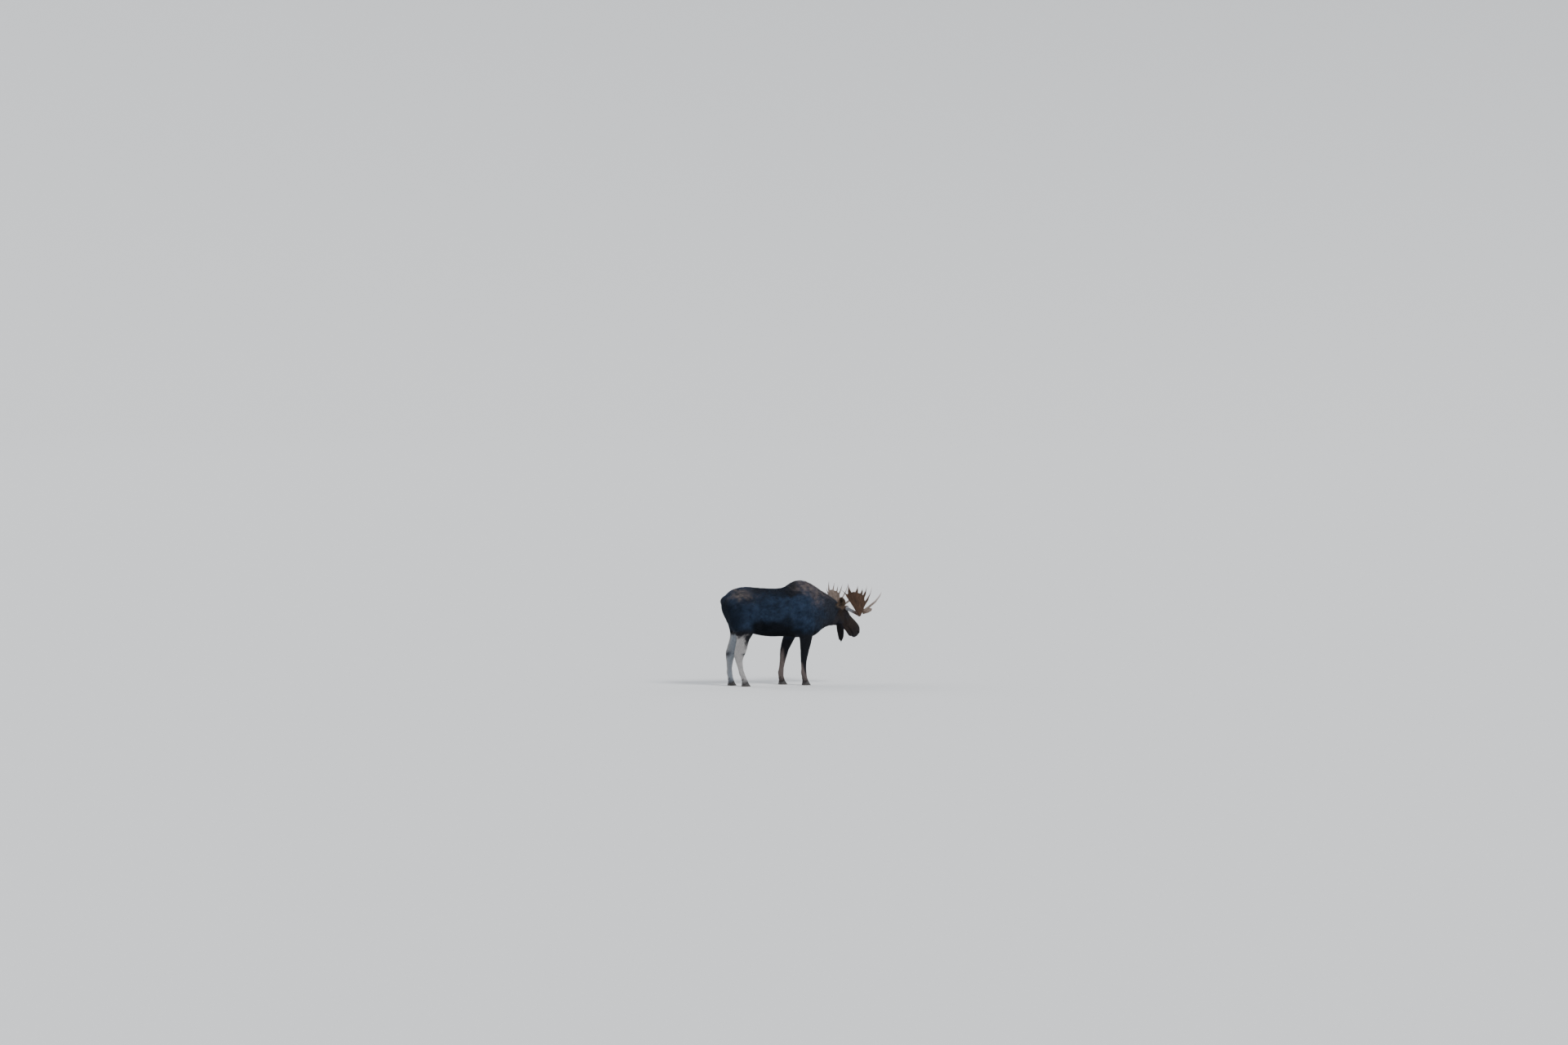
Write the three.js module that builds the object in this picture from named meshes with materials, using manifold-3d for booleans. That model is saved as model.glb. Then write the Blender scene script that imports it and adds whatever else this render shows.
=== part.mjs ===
// A bull moose standing with its head lowered, at life size, in millimetres.
// +X is the way the trunk faces, +Y is the moose's left and +Z is up; the hooves stand on z = 0.
// Its masses are lofted whole and joined, and thin cuts then part them into named pieces.
import * as THREE from "three";
import { mergeVertices } from "three/addons/utils/BufferGeometryUtils.js";
import Module from "manifold-3d";

const wasm = await Module();
wasm.setup();

// ---------------------------------------------------------------- driving dimensions

const GAP = 0.4; // clearance between neighbouring pieces
const SINK = 1.2; // how far a piece's own mass is cut back from a sloping neighbour
const RIGHT = -1;
const LEFT = 1;

// Slices of the trunk and neck square to X, from the rump to the nape. `top`, `low` and `wide` are
// the heights of the back, of the underline and of the widest part, `half` is half the width, and
// `y` is how far the neck has turned. `ridge` and `keel` above 1 narrow the back and the underline.
const BODY = [
  { at: -830, top: 1452, low: 1345, wide: 1400, half: 42, y: 0, ridge: 1, keel: 1 },
  { at: -818, top: 1500, low: 1305, wide: 1392, half: 92, y: 0, ridge: 1, keel: 1 },
  { at: -790, top: 1558, low: 1232, wide: 1382, half: 146, y: 0, ridge: 1, keel: 1 },
  { at: -735, top: 1622, low: 1128, wide: 1372, half: 198, y: 0, ridge: 1.05, keel: 1 },
  { at: -640, top: 1688, low: 1020, wide: 1365, half: 240, y: 0, ridge: 1.15, keel: 1 },
  { at: -500, top: 1731, low: 960, wide: 1345, half: 264, y: 0, ridge: 1.25, keel: 0.95 },
  { at: -380, top: 1740, low: 925, wide: 1315, half: 272, y: 0, ridge: 1.25, keel: 0.9 },
  { at: -240, top: 1722, low: 888, wide: 1260, half: 286, y: 0, ridge: 1.2, keel: 0.88 },
  { at: -90, top: 1706, low: 856, wide: 1220, half: 304, y: 0, ridge: 1.2, keel: 0.88 },
  { at: 60, top: 1698, low: 840, wide: 1200, half: 308, y: 0, ridge: 1.25, keel: 0.88 },
  { at: 200, top: 1698, low: 842, wide: 1200, half: 298, y: 0, ridge: 1.3, keel: 0.9 },
  { at: 300, top: 1728, low: 838, wide: 1210, half: 284, y: 0, ridge: 1.4, keel: 0.95 },
  { at: 400, top: 1797, low: 828, wide: 1225, half: 268, y: 0, ridge: 1.6, keel: 1 },
  { at: 500, top: 1837, low: 818, wide: 1240, half: 258, y: 0, ridge: 1.7, keel: 1.05 },
  { at: 590, top: 1845, low: 812, wide: 1250, half: 248, y: 0, ridge: 1.7, keel: 1.1 },
  { at: 690, top: 1820, low: 815, wide: 1250, half: 236, y: 0, ridge: 1.6, keel: 1.1 },
  { at: 790, top: 1770, low: 826, wide: 1245, half: 220, y: 0, ridge: 1.4, keel: 1.05 },
  { at: 860, top: 1726, low: 852, wide: 1255, half: 205, y: 2, ridge: 1.3, keel: 1 },
  { at: 920, top: 1682, low: 905, wide: 1280, half: 188, y: 4, ridge: 1.25, keel: 1 },
  { at: 980, top: 1640, low: 958, wide: 1300, half: 172, y: 8, ridge: 1.2, keel: 1 },
  { at: 1070, top: 1585, low: 1002, wide: 1300, half: 156, y: 14, ridge: 1.15, keel: 1.1 },
  { at: 1160, top: 1528, low: 1015, wide: 1290, half: 142, y: 22, ridge: 1.1, keel: 1.15 },
  { at: 1240, top: 1470, low: 1035, wide: 1275, half: 126, y: 30, ridge: 1, keel: 1.1 },
  { at: 1310, top: 1405, low: 1100, wide: 1255, half: 100, y: 38, ridge: 1, keel: 1 },
  { at: 1350, top: 1340, low: 1160, wide: 1250, half: 55, y: 42, ridge: 1, keel: 1 },
];

// The legs, by height. `fore` and `aft` are the reach from the leg's middle line, `half` is half
// the thickness from side to side, and `out` is how far that line stands from the trunk's middle.
const FRONT_LEG = [
  { at: 1480, fore: 80, aft: 80, half: 50, out: 112 },
  { at: 1320, fore: 140, aft: 160, half: 92, out: 146 },
  { at: 1160, fore: 168, aft: 186, half: 100, out: 156 },
  { at: 1010, fore: 160, aft: 172, half: 94, out: 150 },
  { at: 910, fore: 142, aft: 146, half: 86, out: 143 },
  { at: 815, fore: 122, aft: 122, half: 77, out: 137 },
  { at: 700, fore: 101, aft: 103, half: 65, out: 133 },
  { at: 600, fore: 82, aft: 82, half: 57, out: 132 },
  { at: 540, fore: 76, aft: 72, half: 55, out: 132 },
  { at: 470, fore: 62, aft: 62, half: 46, out: 131 },
  { at: 390, fore: 52, aft: 54, half: 39, out: 131 },
  { at: 290, fore: 47, aft: 49, half: 38, out: 130 },
  { at: 215, fore: 52, aft: 58, half: 49, out: 130 },
  { at: 150, fore: 48, aft: 50, half: 45, out: 130 },
  { at: 100, fore: 52, aft: 52, half: 55, out: 130 },
  { at: 40, fore: 60, aft: 58, half: 57, out: 130 },
];
const HIND_LEG = [
  { at: 1450, fore: 170, aft: 150, half: 60, out: 150 },
  { at: 1310, fore: 250, aft: 240, half: 96, out: 160 },
  { at: 1190, fore: 268, aft: 240, half: 110, out: 161 },
  { at: 1090, fore: 262, aft: 232, half: 109, out: 158 },
  { at: 1020, fore: 240, aft: 226, half: 104, out: 153 },
  { at: 965, fore: 205, aft: 200, half: 96, out: 149 },
  { at: 905, fore: 160, aft: 172, half: 85, out: 146 },
  { at: 815, fore: 122, aft: 124, half: 72, out: 142 },
  { at: 716, fore: 118, aft: 120, half: 60, out: 140 },
  { at: 640, fore: 112, aft: 120, half: 52, out: 140 },
  { at: 590, fore: 106, aft: 120, half: 50, out: 140 },
  { at: 540, fore: 94, aft: 106, half: 48, out: 139 },
  { at: 490, fore: 76, aft: 86, half: 43, out: 138 },
  { at: 430, fore: 64, aft: 68, half: 38, out: 138 },
  { at: 300, fore: 48, aft: 50, half: 37, out: 136 },
  { at: 215, fore: 52, aft: 58, half: 47, out: 135 },
  { at: 150, fore: 50, aft: 50, half: 44, out: 135 },
  { at: 100, fore: 52, aft: 52, half: 54, out: 135 },
  { at: 40, fore: 60, aft: 58, half: 56, out: 135 },
];

// Where each leg's middle line runs: its x by height. The right legs stand square under the
// trunk, and both left legs are swept back in mid-stride.
const STANCE = {
  front_leg_right: [
    [1480, 690], [1160, 680], [1010, 660], [910, 655], [815, 650], [700, 644], [600, 630],
    [540, 623], [470, 618], [390, 614], [290, 615], [215, 618], [150, 628], [100, 640], [40, 650],
  ],
  front_leg_left: [
    [1480, 690], [1160, 640], [1010, 568], [910, 490], [815, 418], [700, 372], [600, 334],
    [540, 322], [470, 312], [390, 300], [290, 282], [215, 272], [150, 276], [100, 286], [40, 296],
  ],
  hind_leg_right: [
    [1450, -520], [1310, -515], [1190, -506], [1090, -500], [1020, -495], [965, -474], [905, -450],
    [815, -480], [716, -502], [640, -516], [540, -542], [490, -548], [430, -546], [300, -520],
    [215, -494], [150, -466], [100, -448], [40, -436],
  ],
  hind_leg_left: [
    [1450, -520], [1310, -505], [1190, -480], [1090, -462], [1020, -452], [965, -455], [905, -478],
    [815, -535], [716, -570], [640, -592], [540, -624], [490, -636], [430, -645], [300, -652],
    [215, -648], [150, -636], [100, -626], [40, -618],
  ],
};

// The head's own frame: `u` runs from the poll to the nose, `v` to the head's left and `w` out of
// the face. The head hangs 49 degrees below level and is turned 17 degrees to the left.
const POLL = [1322, 35, 1422];
const HEAD_PITCH = THREE.MathUtils.degToRad(49);
const HEAD_YAW = THREE.MathUtils.degToRad(17);

// Slices of the head square to `u`. `top`, `low` and `wide` are measured along `w`.
const HEAD = [
  { at: -45, top: -60, low: -180, wide: -120, half: 50, brow: 1, keel: 1 },
  { at: -10, top: -16, low: -232, wide: -115, half: 92, brow: 1, keel: 1 },
  { at: 50, top: 0, low: -268, wide: -105, half: 104, brow: 0.95, keel: 1.05 },
  { at: 110, top: 6, low: -284, wide: -95, half: 110, brow: 0.85, keel: 1.15 },
  { at: 165, top: 4, low: -286, wide: -85, half: 114, brow: 0.8, keel: 1.2 },
  { at: 215, top: -4, low: -280, wide: -80, half: 112, brow: 0.8, keel: 1.2 },
  { at: 265, top: -12, low: -262, wide: -90, half: 98, brow: 0.85, keel: 1.15 },
  { at: 325, top: -4, low: -236, wide: -105, half: 81, brow: 0.9, keel: 1.1 },
  { at: 385, top: 8, low: -212, wide: -112, half: 70, brow: 0.9, keel: 1 },
  { at: 440, top: 16, low: -200, wide: -112, half: 68, brow: 0.95, keel: 0.95 },
  { at: 495, top: 20, low: -200, wide: -112, half: 73, brow: 0.95, keel: 0.9 },
  { at: 545, top: 18, low: -210, wide: -112, half: 81, brow: 0.9, keel: 0.85 },
  { at: 590, top: 4, low: -220, wide: -116, half: 84, brow: 0.9, keel: 0.85 },
  { at: 624, top: -16, low: -218, wide: -124, half: 77, brow: 0.95, keel: 0.9 },
  { at: 650, top: -48, low: -205, wide: -132, half: 60, brow: 1, keel: 1 },
  { at: 667, top: -88, low: -180, wide: -138, half: 34, brow: 1, keel: 1 },
];
const JAW = [
  { at: 262, top: -150, low: -232, wide: -190, half: 44 },
  { at: 320, top: -150, low: -250, wide: -196, half: 56 },
  { at: 390, top: -150, low: -248, wide: -200, half: 53 },
  { at: 460, top: -160, low: -242, wide: -205, half: 50 },
  { at: 520, top: -165, low: -246, wide: -210, half: 53 },
  { at: 565, top: -175, low: -250, wide: -214, half: 50 },
  { at: 592, top: -195, low: -240, wide: -218, half: 30 },
];

const EYE = { u: 212, out: 95, w: -66, radius: 22 };

// The ears: `axis` points to the tip and `opening` out of the hollow, as [u, outwards, w].
const EAR = { root: [76, 92, -92], length: 236, wall: 9 };
const EAR_SET = {
  [RIGHT]: { axis: [-0.88, 0.22, 0.42], opening: [-0.1, 0.95, -0.25] },
  [LEFT]: { axis: [-0.6, 0.68, 0.42], opening: [0.45, 0.75, -0.1] },
};
const EAR_SLICES = [
  { at: 0, half: 30, face: 26, back: 30 },
  { at: 0.14, half: 44, face: 24, back: 38 },
  { at: 0.3, half: 64, face: 18, back: 42 },
  { at: 0.48, half: 78, face: 13, back: 42 },
  { at: 0.65, half: 76, face: 11, back: 37 },
  { at: 0.8, half: 60, face: 9, back: 28 },
  { at: 0.92, half: 36, face: 7, back: 18 },
  { at: 1, half: 9, face: 4, back: 8 },
];

// The beard of skin and hair under the throat, by height; x and y are its middle.
const BELL = [
  { at: 1105, x: 1322, y: 40, fore: 62, aft: 62, half: 36 },
  { at: 1030, x: 1322, y: 42, fore: 74, aft: 78, half: 42 },
  { at: 950, x: 1328, y: 46, fore: 70, aft: 70, half: 40 },
  { at: 880, x: 1336, y: 50, fore: 58, aft: 62, half: 34 },
  { at: 820, x: 1340, y: 52, fore: 46, aft: 52, half: 28 },
  { at: 775, x: 1340, y: 53, fore: 30, aft: 38, half: 19 },
  { at: 752, x: 1338, y: 53, fore: 12, aft: 16, half: 9 },
];

const TAIL = [
  { point: [-764, 0, 1566], wide: 32, thick: 20 },
  { point: [-812, 0, 1538], wide: 31, thick: 18 },
  { point: [-836, 0, 1494], wide: 26, thick: 13 },
  { point: [-843, 0, 1446], wide: 10, thick: 7 },
];

// The antlers. The beam is placed as [u, outwards, w]. The palm lies in a plane of its own that
// starts at the beam's end: `s` runs along that plane to the front and `h` up to its rim.
const PEDICLE = { from: [96, 40, -30], to: [117, 104, -8], radius: 30 };
const BURR = { point: [113, 86, -9], normal: [0.12, 1, 0] }; // where the beam meets the pedicle
const BEAM = [
  { point: [112, 82, -9], wide: 33, thick: 33 },
  { point: [117, 95, -10], wide: 44, thick: 44 },
  { point: [121, 110, -12], wide: 38, thick: 38 },
  { point: [134, 160, -19], wide: 31, thick: 31 },
  { point: [162, 250, -27], wide: 29, thick: 28 },
  { point: [203, 330, -26], wide: 31, thick: 28 },
  { point: [250, 376, -16], wide: 33, thick: 27 },
];
const BEAM_END = 4.45; // where the beam gives way to the palm, counted in the stops above
const PALM_BASE = [256, 380, -16];
const PALM_UP = [-0.859, 0.003, 0.511];
const PALM_FRONT = [0.486, 0.315, 0.815];
const PALM_CUP = [0.35, -0.85, 0.4];
const CUP_DEPTH = 45;
const CUP_REACH = 200;
const PALM = [
  { at: -0.06, rear: -20, front: 20, thick: 19 },
  { at: 0.02, rear: -32, front: 34, thick: 25 },
  { at: 0.14, rear: -50, front: 62, thick: 21 },
  { at: 0.28, rear: -74, front: 90, thick: 15 },
  { at: 0.45, rear: -104, front: 118, thick: 11.5 },
  { at: 0.65, rear: -142, front: 134, thick: 9.5 },
  { at: 0.85, rear: -178, front: 138, thick: 8.5 },
  { at: 1, rear: -202, front: 132, thick: 6 },
];
const RIM = [[-1, 388], [-0.5, 420], [0, 424], [0.42, 380], [0.82, 356], [1, 300]];
const TINES = [
  { root: [-140, 326], tip: [-274, 513], half: 28, bow: 8 },
  { root: [-112, 366], tip: [-123, 611], half: 52, bow: -4 },
  { root: [-8, 372], tip: [50, 541], half: 38, bow: 8 },
  { root: [74, 336], tip: [126, 479], half: 34, bow: 8 },
  { root: [96, 276], tip: [210, 486], half: 38, bow: 14 },
  { root: [72, 136], tip: [316, 488], half: 36, bow: 34 },
];
const BROW = [
  { at: [30, 40], wide: 24, thick: 13 },
  { at: [104, 66], wide: 28, thick: 18 },
  { at: [180, 104], wide: 22, thick: 17 },
  { at: [312, 172], wide: 19, thick: 15 },
  { at: [404, 251], wide: 14, thick: 12 },
  { at: [452, 318], wide: 4, thick: 4 },
];
const BROW_PADDLE = [
  { at: [24, 16], wide: 18, thick: 12 },
  { at: [90, 28], wide: 27, thick: 13 },
  { at: [160, 44], wide: 38, thick: 9 },
  { at: [212, 58], wide: 34, thick: 7 },
  { at: [236, 66], wide: 10, thick: 4 },
];
const BROW_CUT = 58; // where the brow pieces begin, along `s`

const HOOF = { heel: 68, toe: 92, half: 27.5, apart: 31, height: 104 };
const CORONET = { fore: 92, aft: 52, reach: 56 }; // the hoof's upper line, higher at the front
const DEWCLAW = { at: 132, apart: 27, behind: 40, length: 62, radius: 17 };

// ---------------------------------------------------------------- materials

function finish(color, roughness) {
  return new THREE.MeshStandardMaterial({ color, roughness, metalness: 0 });
}

const COAT = finish(0x1f1a17, 0.85);
const FACE = finish(0x33261d, 0.8);
const LEG_COAT = finish(0x7d7468, 0.85);
const EAR_COAT = finish(0x6b553c, 0.85);
const ANTLER = finish(0x63462c, 0.6);
const HORN = finish(0x1c1714, 0.45);
const EYE_GLOSS = finish(0x140b06, 0.1);

// ---------------------------------------------------------------- solids

function signedVolume(points, corners) {
  const [a, b, c] = [new THREE.Vector3(), new THREE.Vector3(), new THREE.Vector3()];
  let total = 0;
  for (let i = 0; i < corners.length; i += 3) {
    a.fromArray(points, 3 * corners[i]);
    b.fromArray(points, 3 * corners[i + 1]);
    c.fromArray(points, 3 * corners[i + 2]);
    total += a.dot(b.cross(c));
  }
  return total;
}

// A closed geometry as a solid that can be joined and cut.
function solid(geometry) {
  for (const name of Object.keys(geometry.attributes)) {
    if (name !== "position") geometry.deleteAttribute(name);
  }
  const merged = mergeVertices(geometry, 1e-3);
  const triVerts = new Uint32Array(merged.index.array);
  const vertProperties = merged.attributes.position.array;
  if (signedVolume(vertProperties, triVerts) < 0) triVerts.reverse();
  return new wasm.Manifold(new wasm.Mesh({ numProp: 3, vertProperties, triVerts }));
}

function join(...parts) {
  return parts.reduce((whole, part) => whole.add(part));
}

function cut(part, ...tools) {
  return tools.reduce((rest, tool) => rest.subtract(tool), part);
}

// The half of space beyond a plane through `point`, on the side that `normal` points to.
function beyond(point, normal) {
  const size = 8000;
  const facing = new THREE.Vector3(...normal).normalize();
  const block = new THREE.BoxGeometry(size, size, size);
  block.translate(0, 0, size / 2);
  block.applyQuaternion(new THREE.Quaternion().setFromUnitVectors(new THREE.Vector3(0, 0, 1), facing));
  block.translate(...point);
  return solid(block);
}

// The two sides of a thin cut through `point`: what lies before it and what lies after it.
function parted(part, point, normal) {
  const facing = new THREE.Vector3(...normal).normalize();
  const far = new THREE.Vector3(...point).addScaledVector(facing, GAP);
  const before = part.intersect(beyond(point, facing.clone().negate().toArray()));
  const after = part.intersect(beyond(far.toArray(), facing.toArray()));
  return [before, after];
}

const moose = new THREE.Group();

function piece(name, part, material) {
  const { vertProperties, triVerts } = part.getMesh();
  const geometry = new THREE.BufferGeometry();
  geometry.setAttribute("position", new THREE.BufferAttribute(new Float32Array(vertProperties), 3));
  geometry.setIndex(new THREE.BufferAttribute(new Uint32Array(triVerts), 1));
  geometry.computeVertexNormals();
  const mesh = new THREE.Mesh(geometry, material);
  mesh.name = name;
  moose.add(mesh);
}

// ---------------------------------------------------------------- lofts

// A smooth curve through pairs of place and value.
function curve(pairs) {
  const sorted = [...pairs].sort((a, b) => a[0] - b[0]);
  const places = sorted.map((pair) => pair[0]);
  const values = sorted.map((pair) => pair[1]);
  const through = new THREE.CubicInterpolant(places, values, 1);
  return (at) => through.evaluate(at)[0];
}

// Reads every measure of a list of stations at any place between them.
function reader(stations) {
  const keys = Object.keys(stations[0]).filter((key) => key !== "at");
  const curves = keys.map((key) => [key, curve(stations.map((station) => [station.at, station[key]]))]);
  return (at) => Object.fromEntries([["at", at], ...curves.map(([key, read]) => [key, read(at)])]);
}

function bent(value, power) {
  return Math.sign(value) * Math.abs(value) ** power;
}

// A closed body through a row of cross-sections. A section reaches `over`, `under` and `half` from
// its middle; `ridge` and `keel` draw its upper and lower half in to an edge, or fill it out.
function loft(stations, sides, steps, place) {
  const read = reader(stations);
  const spans = stations.length - 1;
  const body = new THREE.CylinderGeometry(1, 1, 1, sides, spans * steps);
  const points = body.attributes.position;
  for (let i = 0; i < points.count; i++) {
    const along = (0.5 - points.getY(i)) * spans;
    const span = Math.min(Math.floor(along + 1e-6), spans - 1);
    const at = THREE.MathUtils.lerp(stations[span].at, stations[span + 1].at, along - span);
    const section = read(at);
    const reach = Math.hypot(points.getX(i), points.getZ(i));
    const turn = Math.atan2(points.getZ(i), points.getX(i));
    const [aside, height] = [Math.cos(turn), Math.sin(turn)];
    const power = height > 0 ? section.ridge : section.keel;
    const across = reach * bent(aside, power) * section.half;
    const up = reach * height * (height > 0 ? section.over : section.under);
    points.setXYZ(i, ...place(section, across, up));
  }
  return solid(body);
}

// A tapering rod along a smooth curve through stops that each hold a point and two half sizes:
// `thick` across the rod along `face`, and `wide` the other way.
function rod(stops, face, sides, steps) {
  const line = new THREE.CatmullRomCurve3(stops.map((stop) => new THREE.Vector3(...stop.point)));
  const wide = curve(stops.map((stop, i) => [i, stop.wide]));
  const thick = curve(stops.map((stop, i) => [i, stop.thick]));
  const spans = stops.length - 1;
  const body = new THREE.CylinderGeometry(1, 1, 1, sides, spans * steps);
  const points = body.attributes.position;
  for (let i = 0; i < points.count; i++) {
    const along = 0.5 - points.getY(i);
    const centre = line.getPoint(along);
    const tangent = line.getTangent(along);
    const aside = new THREE.Vector3().crossVectors(tangent, face).normalize();
    const up = new THREE.Vector3().crossVectors(aside, tangent);
    centre.addScaledVector(aside, points.getX(i) * wide(along * spans));
    centre.addScaledVector(up, points.getZ(i) * thick(along * spans));
    points.setXYZ(i, ...centre);
  }
  return solid(body);
}

// ---------------------------------------------------------------- trunk and neck

function bodyMass(grow = 0) {
  const stations = BODY.map(({ at, top, low, wide, half, y, ridge, keel }) => {
    return { at, over: top - wide + grow, under: wide - low + grow, half: half + grow, wide, y, ridge, keel };
  });
  return loft(stations, 22, 1, (s, across, up) => [s.at, s.y + across, s.wide + up]);
}

// ---------------------------------------------------------------- legs

function legMass(slices, stance, side, grow = 0) {
  const middle = curve(stance);
  const stations = slices.map(({ at, fore, aft, half, out }) => {
    return { at, over: fore + grow, under: aft + grow, half: half + grow, out, ridge: 0.9, keel: 1.1 };
  });
  return loft(stations, 12, 1, (s, across, up) => [middle(s.at) + up, side * s.out + across, s.at]);
}

// The hair of the leg ends at the coronet, a plane that drops towards the heel.
function coronet(x) {
  const slope = (CORONET.fore - CORONET.aft) / (2 * CORONET.reach);
  return { point: [x, 0, (CORONET.fore + CORONET.aft) / 2], normal: [-slope, 0, 1] };
}

function hoof(x, y) {
  const stations = [0, 0.5, 1].map((at) => {
    const over = THREE.MathUtils.lerp(HOOF.toe, HOOF.toe * 0.42, at);
    const under = THREE.MathUtils.lerp(HOOF.heel, HOOF.heel * 0.86, at);
    const half = HOOF.half * (1 - 0.06 * at);
    return { at, over, under, half, ridge: 1.35, keel: 0.8 };
  });
  return loft(stations, 10, 1, (s, across, up) => [x + up, y + across, s.at * HOOF.height]);
}

function dewclaw(x, y, side) {
  const lean = side * 6;
  const stops = [
    { point: [x + 34, y, DEWCLAW.at + 26], wide: DEWCLAW.radius * 0.8, thick: DEWCLAW.radius * 0.7 },
    { point: [x + 8, y + lean * 0.4, DEWCLAW.at + 4], wide: DEWCLAW.radius, thick: DEWCLAW.radius * 0.8 },
    { point: [x - 14, y + lean, DEWCLAW.at - DEWCLAW.length * 0.5], wide: 5, thick: 4 },
  ];
  return rod(stops, new THREE.Vector3(1, 0, 0), 5, 1);
}

function leg(name, slices, side, hip) {
  const stance = STANCE[name];
  const middle = curve(stance);
  const foot = middle(40);
  const mass = legMass(slices, stance, side);
  const crown = coronet(foot);
  const [, aboveFoot] = parted(mass, crown.point, crown.normal);
  const [limb, root] = parted(aboveFoot, hip.point, hip.normal);
  piece(name, cut(limb, bodyMass(SINK)), LEG_COAT);

  const out = slices.at(-1).out;
  const skin = legMass(slices, stance, side, SINK);
  for (const [toe, way] of [["inner", -side], ["outer", side]]) {
    const y = side * out + way * HOOF.apart;
    const [shoe] = parted(hoof(foot, y), crown.point, crown.normal);
    piece(name.replace("_leg", "_hoof") + `_${toe}`, shoe, HORN);
    const claw = dewclaw(middle(DEWCLAW.at) - DEWCLAW.behind, side * out + way * DEWCLAW.apart, way);
    piece(name.replace("_leg", "_dewclaw") + `_${toe}`, cut(claw, skin), HORN);
  }
  return root;
}

// ---------------------------------------------------------------- head

const headTurn = new THREE.Matrix4()
  .makeRotationZ(HEAD_YAW)
  .multiply(new THREE.Matrix4().makeRotationY(HEAD_PITCH))
  .setPosition(...POLL);

function inHead(u, v, w) {
  return new THREE.Vector3(u, v, w).applyMatrix4(headTurn).toArray();
}

// A point or a direction given as [u, outwards, w], on one side of the head.
function beside(side, [u, out, w]) {
  return inHead(u, side * out, w);
}

function facing(side, [u, out, w]) {
  return new THREE.Vector3(u, side * out, w).transformDirection(headTurn);
}

function headMass(grow = 0) {
  const stations = HEAD.map(({ at, top, low, wide, half, brow, keel }) => {
    return { at, over: top - wide + grow, under: wide - low + grow, half: half + grow, wide, ridge: brow, keel };
  });
  return loft(stations, 16, 1, (s, across, up) => inHead(s.at, across, s.wide + up));
}

function jawMass(grow = 0) {
  const stations = JAW.map(({ at, top, low, wide, half }) => {
    return { at, over: top - wide + grow, under: wide - low + grow, half: half + grow, wide, ridge: 1, keel: 0.9 };
  });
  return loft(stations, 12, 1, (s, across, up) => inHead(s.at, across, s.wide + up));
}

function eyeBall(side, grow = 0) {
  const ball = new THREE.SphereGeometry(EYE.radius + grow, 10, 8);
  ball.translate(...beside(side, [EYE.u, EYE.out, EYE.w]));
  return solid(ball);
}

// A mass along the ear, whose slices reach `half` aside, `face` to the opening and `back` behind.
function alongEar(side, slices) {
  const axis = facing(side, EAR_SET[side].axis);
  const opening = facing(side, EAR_SET[side].opening);
  opening.addScaledVector(axis, -opening.dot(axis)).normalize();
  const width = new THREE.Vector3().crossVectors(axis, opening);
  const root = new THREE.Vector3(...beside(side, EAR.root));
  const stations = slices.map(({ at, half, face, back }) => {
    return { at, over: face, under: back, half, ridge: 1, keel: 1 };
  });
  return loft(stations, 10, 1, (s, across, up) => {
    const point = root.clone().addScaledVector(axis, s.at * EAR.length);
    return point.addScaledVector(width, across).addScaledVector(opening, up).toArray();
  });
}

function earMass(side) {
  return alongEar(side, EAR_SLICES);
}

// The scoop that hollows the ear leaves its wall all round and runs clear of its face.
function earHollow(side) {
  const slices = EAR_SLICES.slice(2).map(({ at, half, back }) => {
    return { at: at - 0.03, half: Math.max(half - EAR.wall, 3), face: 90, back: Math.max(back - EAR.wall, 1.5) };
  });
  return alongEar(side, slices);
}

function bellMass() {
  const stations = BELL.map(({ at, x, y, fore, aft, half }) => {
    return { at, over: fore, under: aft, half, x, y, ridge: 1, keel: 1 };
  });
  return loft(stations, 10, 1, (s, across, up) => [s.x + up, s.y + across, s.at]);
}

// ---------------------------------------------------------------- antlers

const rimHeight = curve(RIM);

// How far the palm is dished inwards at a place on its plane.
function cupping(s, h) {
  const far = Math.abs(s + 20) / CUP_REACH;
  const dish = far < 1 ? far ** 2 : 2 * far - 1;
  const curl = Math.max(h - 380, 0) / CUP_REACH;
  return CUP_DEPTH * (dish + 0.6 * curl ** 2);
}

// A place on the antler's plane as a point of the moose, `depth` in front of the dished face.
function onPalm(side, s, h, depth = 0) {
  const [up, front, cup] = [PALM_UP, PALM_FRONT, PALM_CUP].map((way) => facing(side, way));
  return new THREE.Vector3(...beside(side, PALM_BASE))
    .addScaledVector(up, h)
    .addScaledVector(front, s)
    .addScaledVector(cup, cupping(s, h) + depth)
    .toArray();
}

function palmPlate(side, grow = 0) {
  const stations = PALM.map(({ at, rear, front, thick }) => {
    return { at, rear: rear - grow, front: front + grow, over: thick + grow, under: thick + grow, half: 1, ridge: 1, keel: 1 };
  });
  return loft(stations, 16, 1, (s, across, up) => {
    const along = THREE.MathUtils.lerp(s.rear, s.front, (across + 1) / 2);
    return onPalm(side, along, s.at * rimHeight(across), up);
  });
}

function onPlane(side, stops) {
  return stops.map(({ at, wide, thick }) => ({ point: onPalm(side, ...at), wide, thick }));
}

// A tine: flat and wide where it leaves the palm, then round and tapering, bowed to the front.
const TINE_TAPER = [[0, 1, 3], [0.33, 0.62, 7.5], [0.62, 0.25, 8], [1, 0.06, 3]];

function tine(side, { root, tip, half, bow }) {
  const run = [tip[0] - root[0], tip[1] - root[1]];
  const length = Math.hypot(...run);
  const stops = TINE_TAPER.map(([along, share, thick]) => {
    const off = (bow * Math.sin(Math.PI * along)) / length;
    const at = [root[0] + run[0] * along + run[1] * off, root[1] + run[1] * along - run[0] * off];
    return { at, wide: half * share, thick };
  });
  return rod(onPlane(side, stops), facing(side, PALM_CUP), 6, 1);
}

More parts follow.
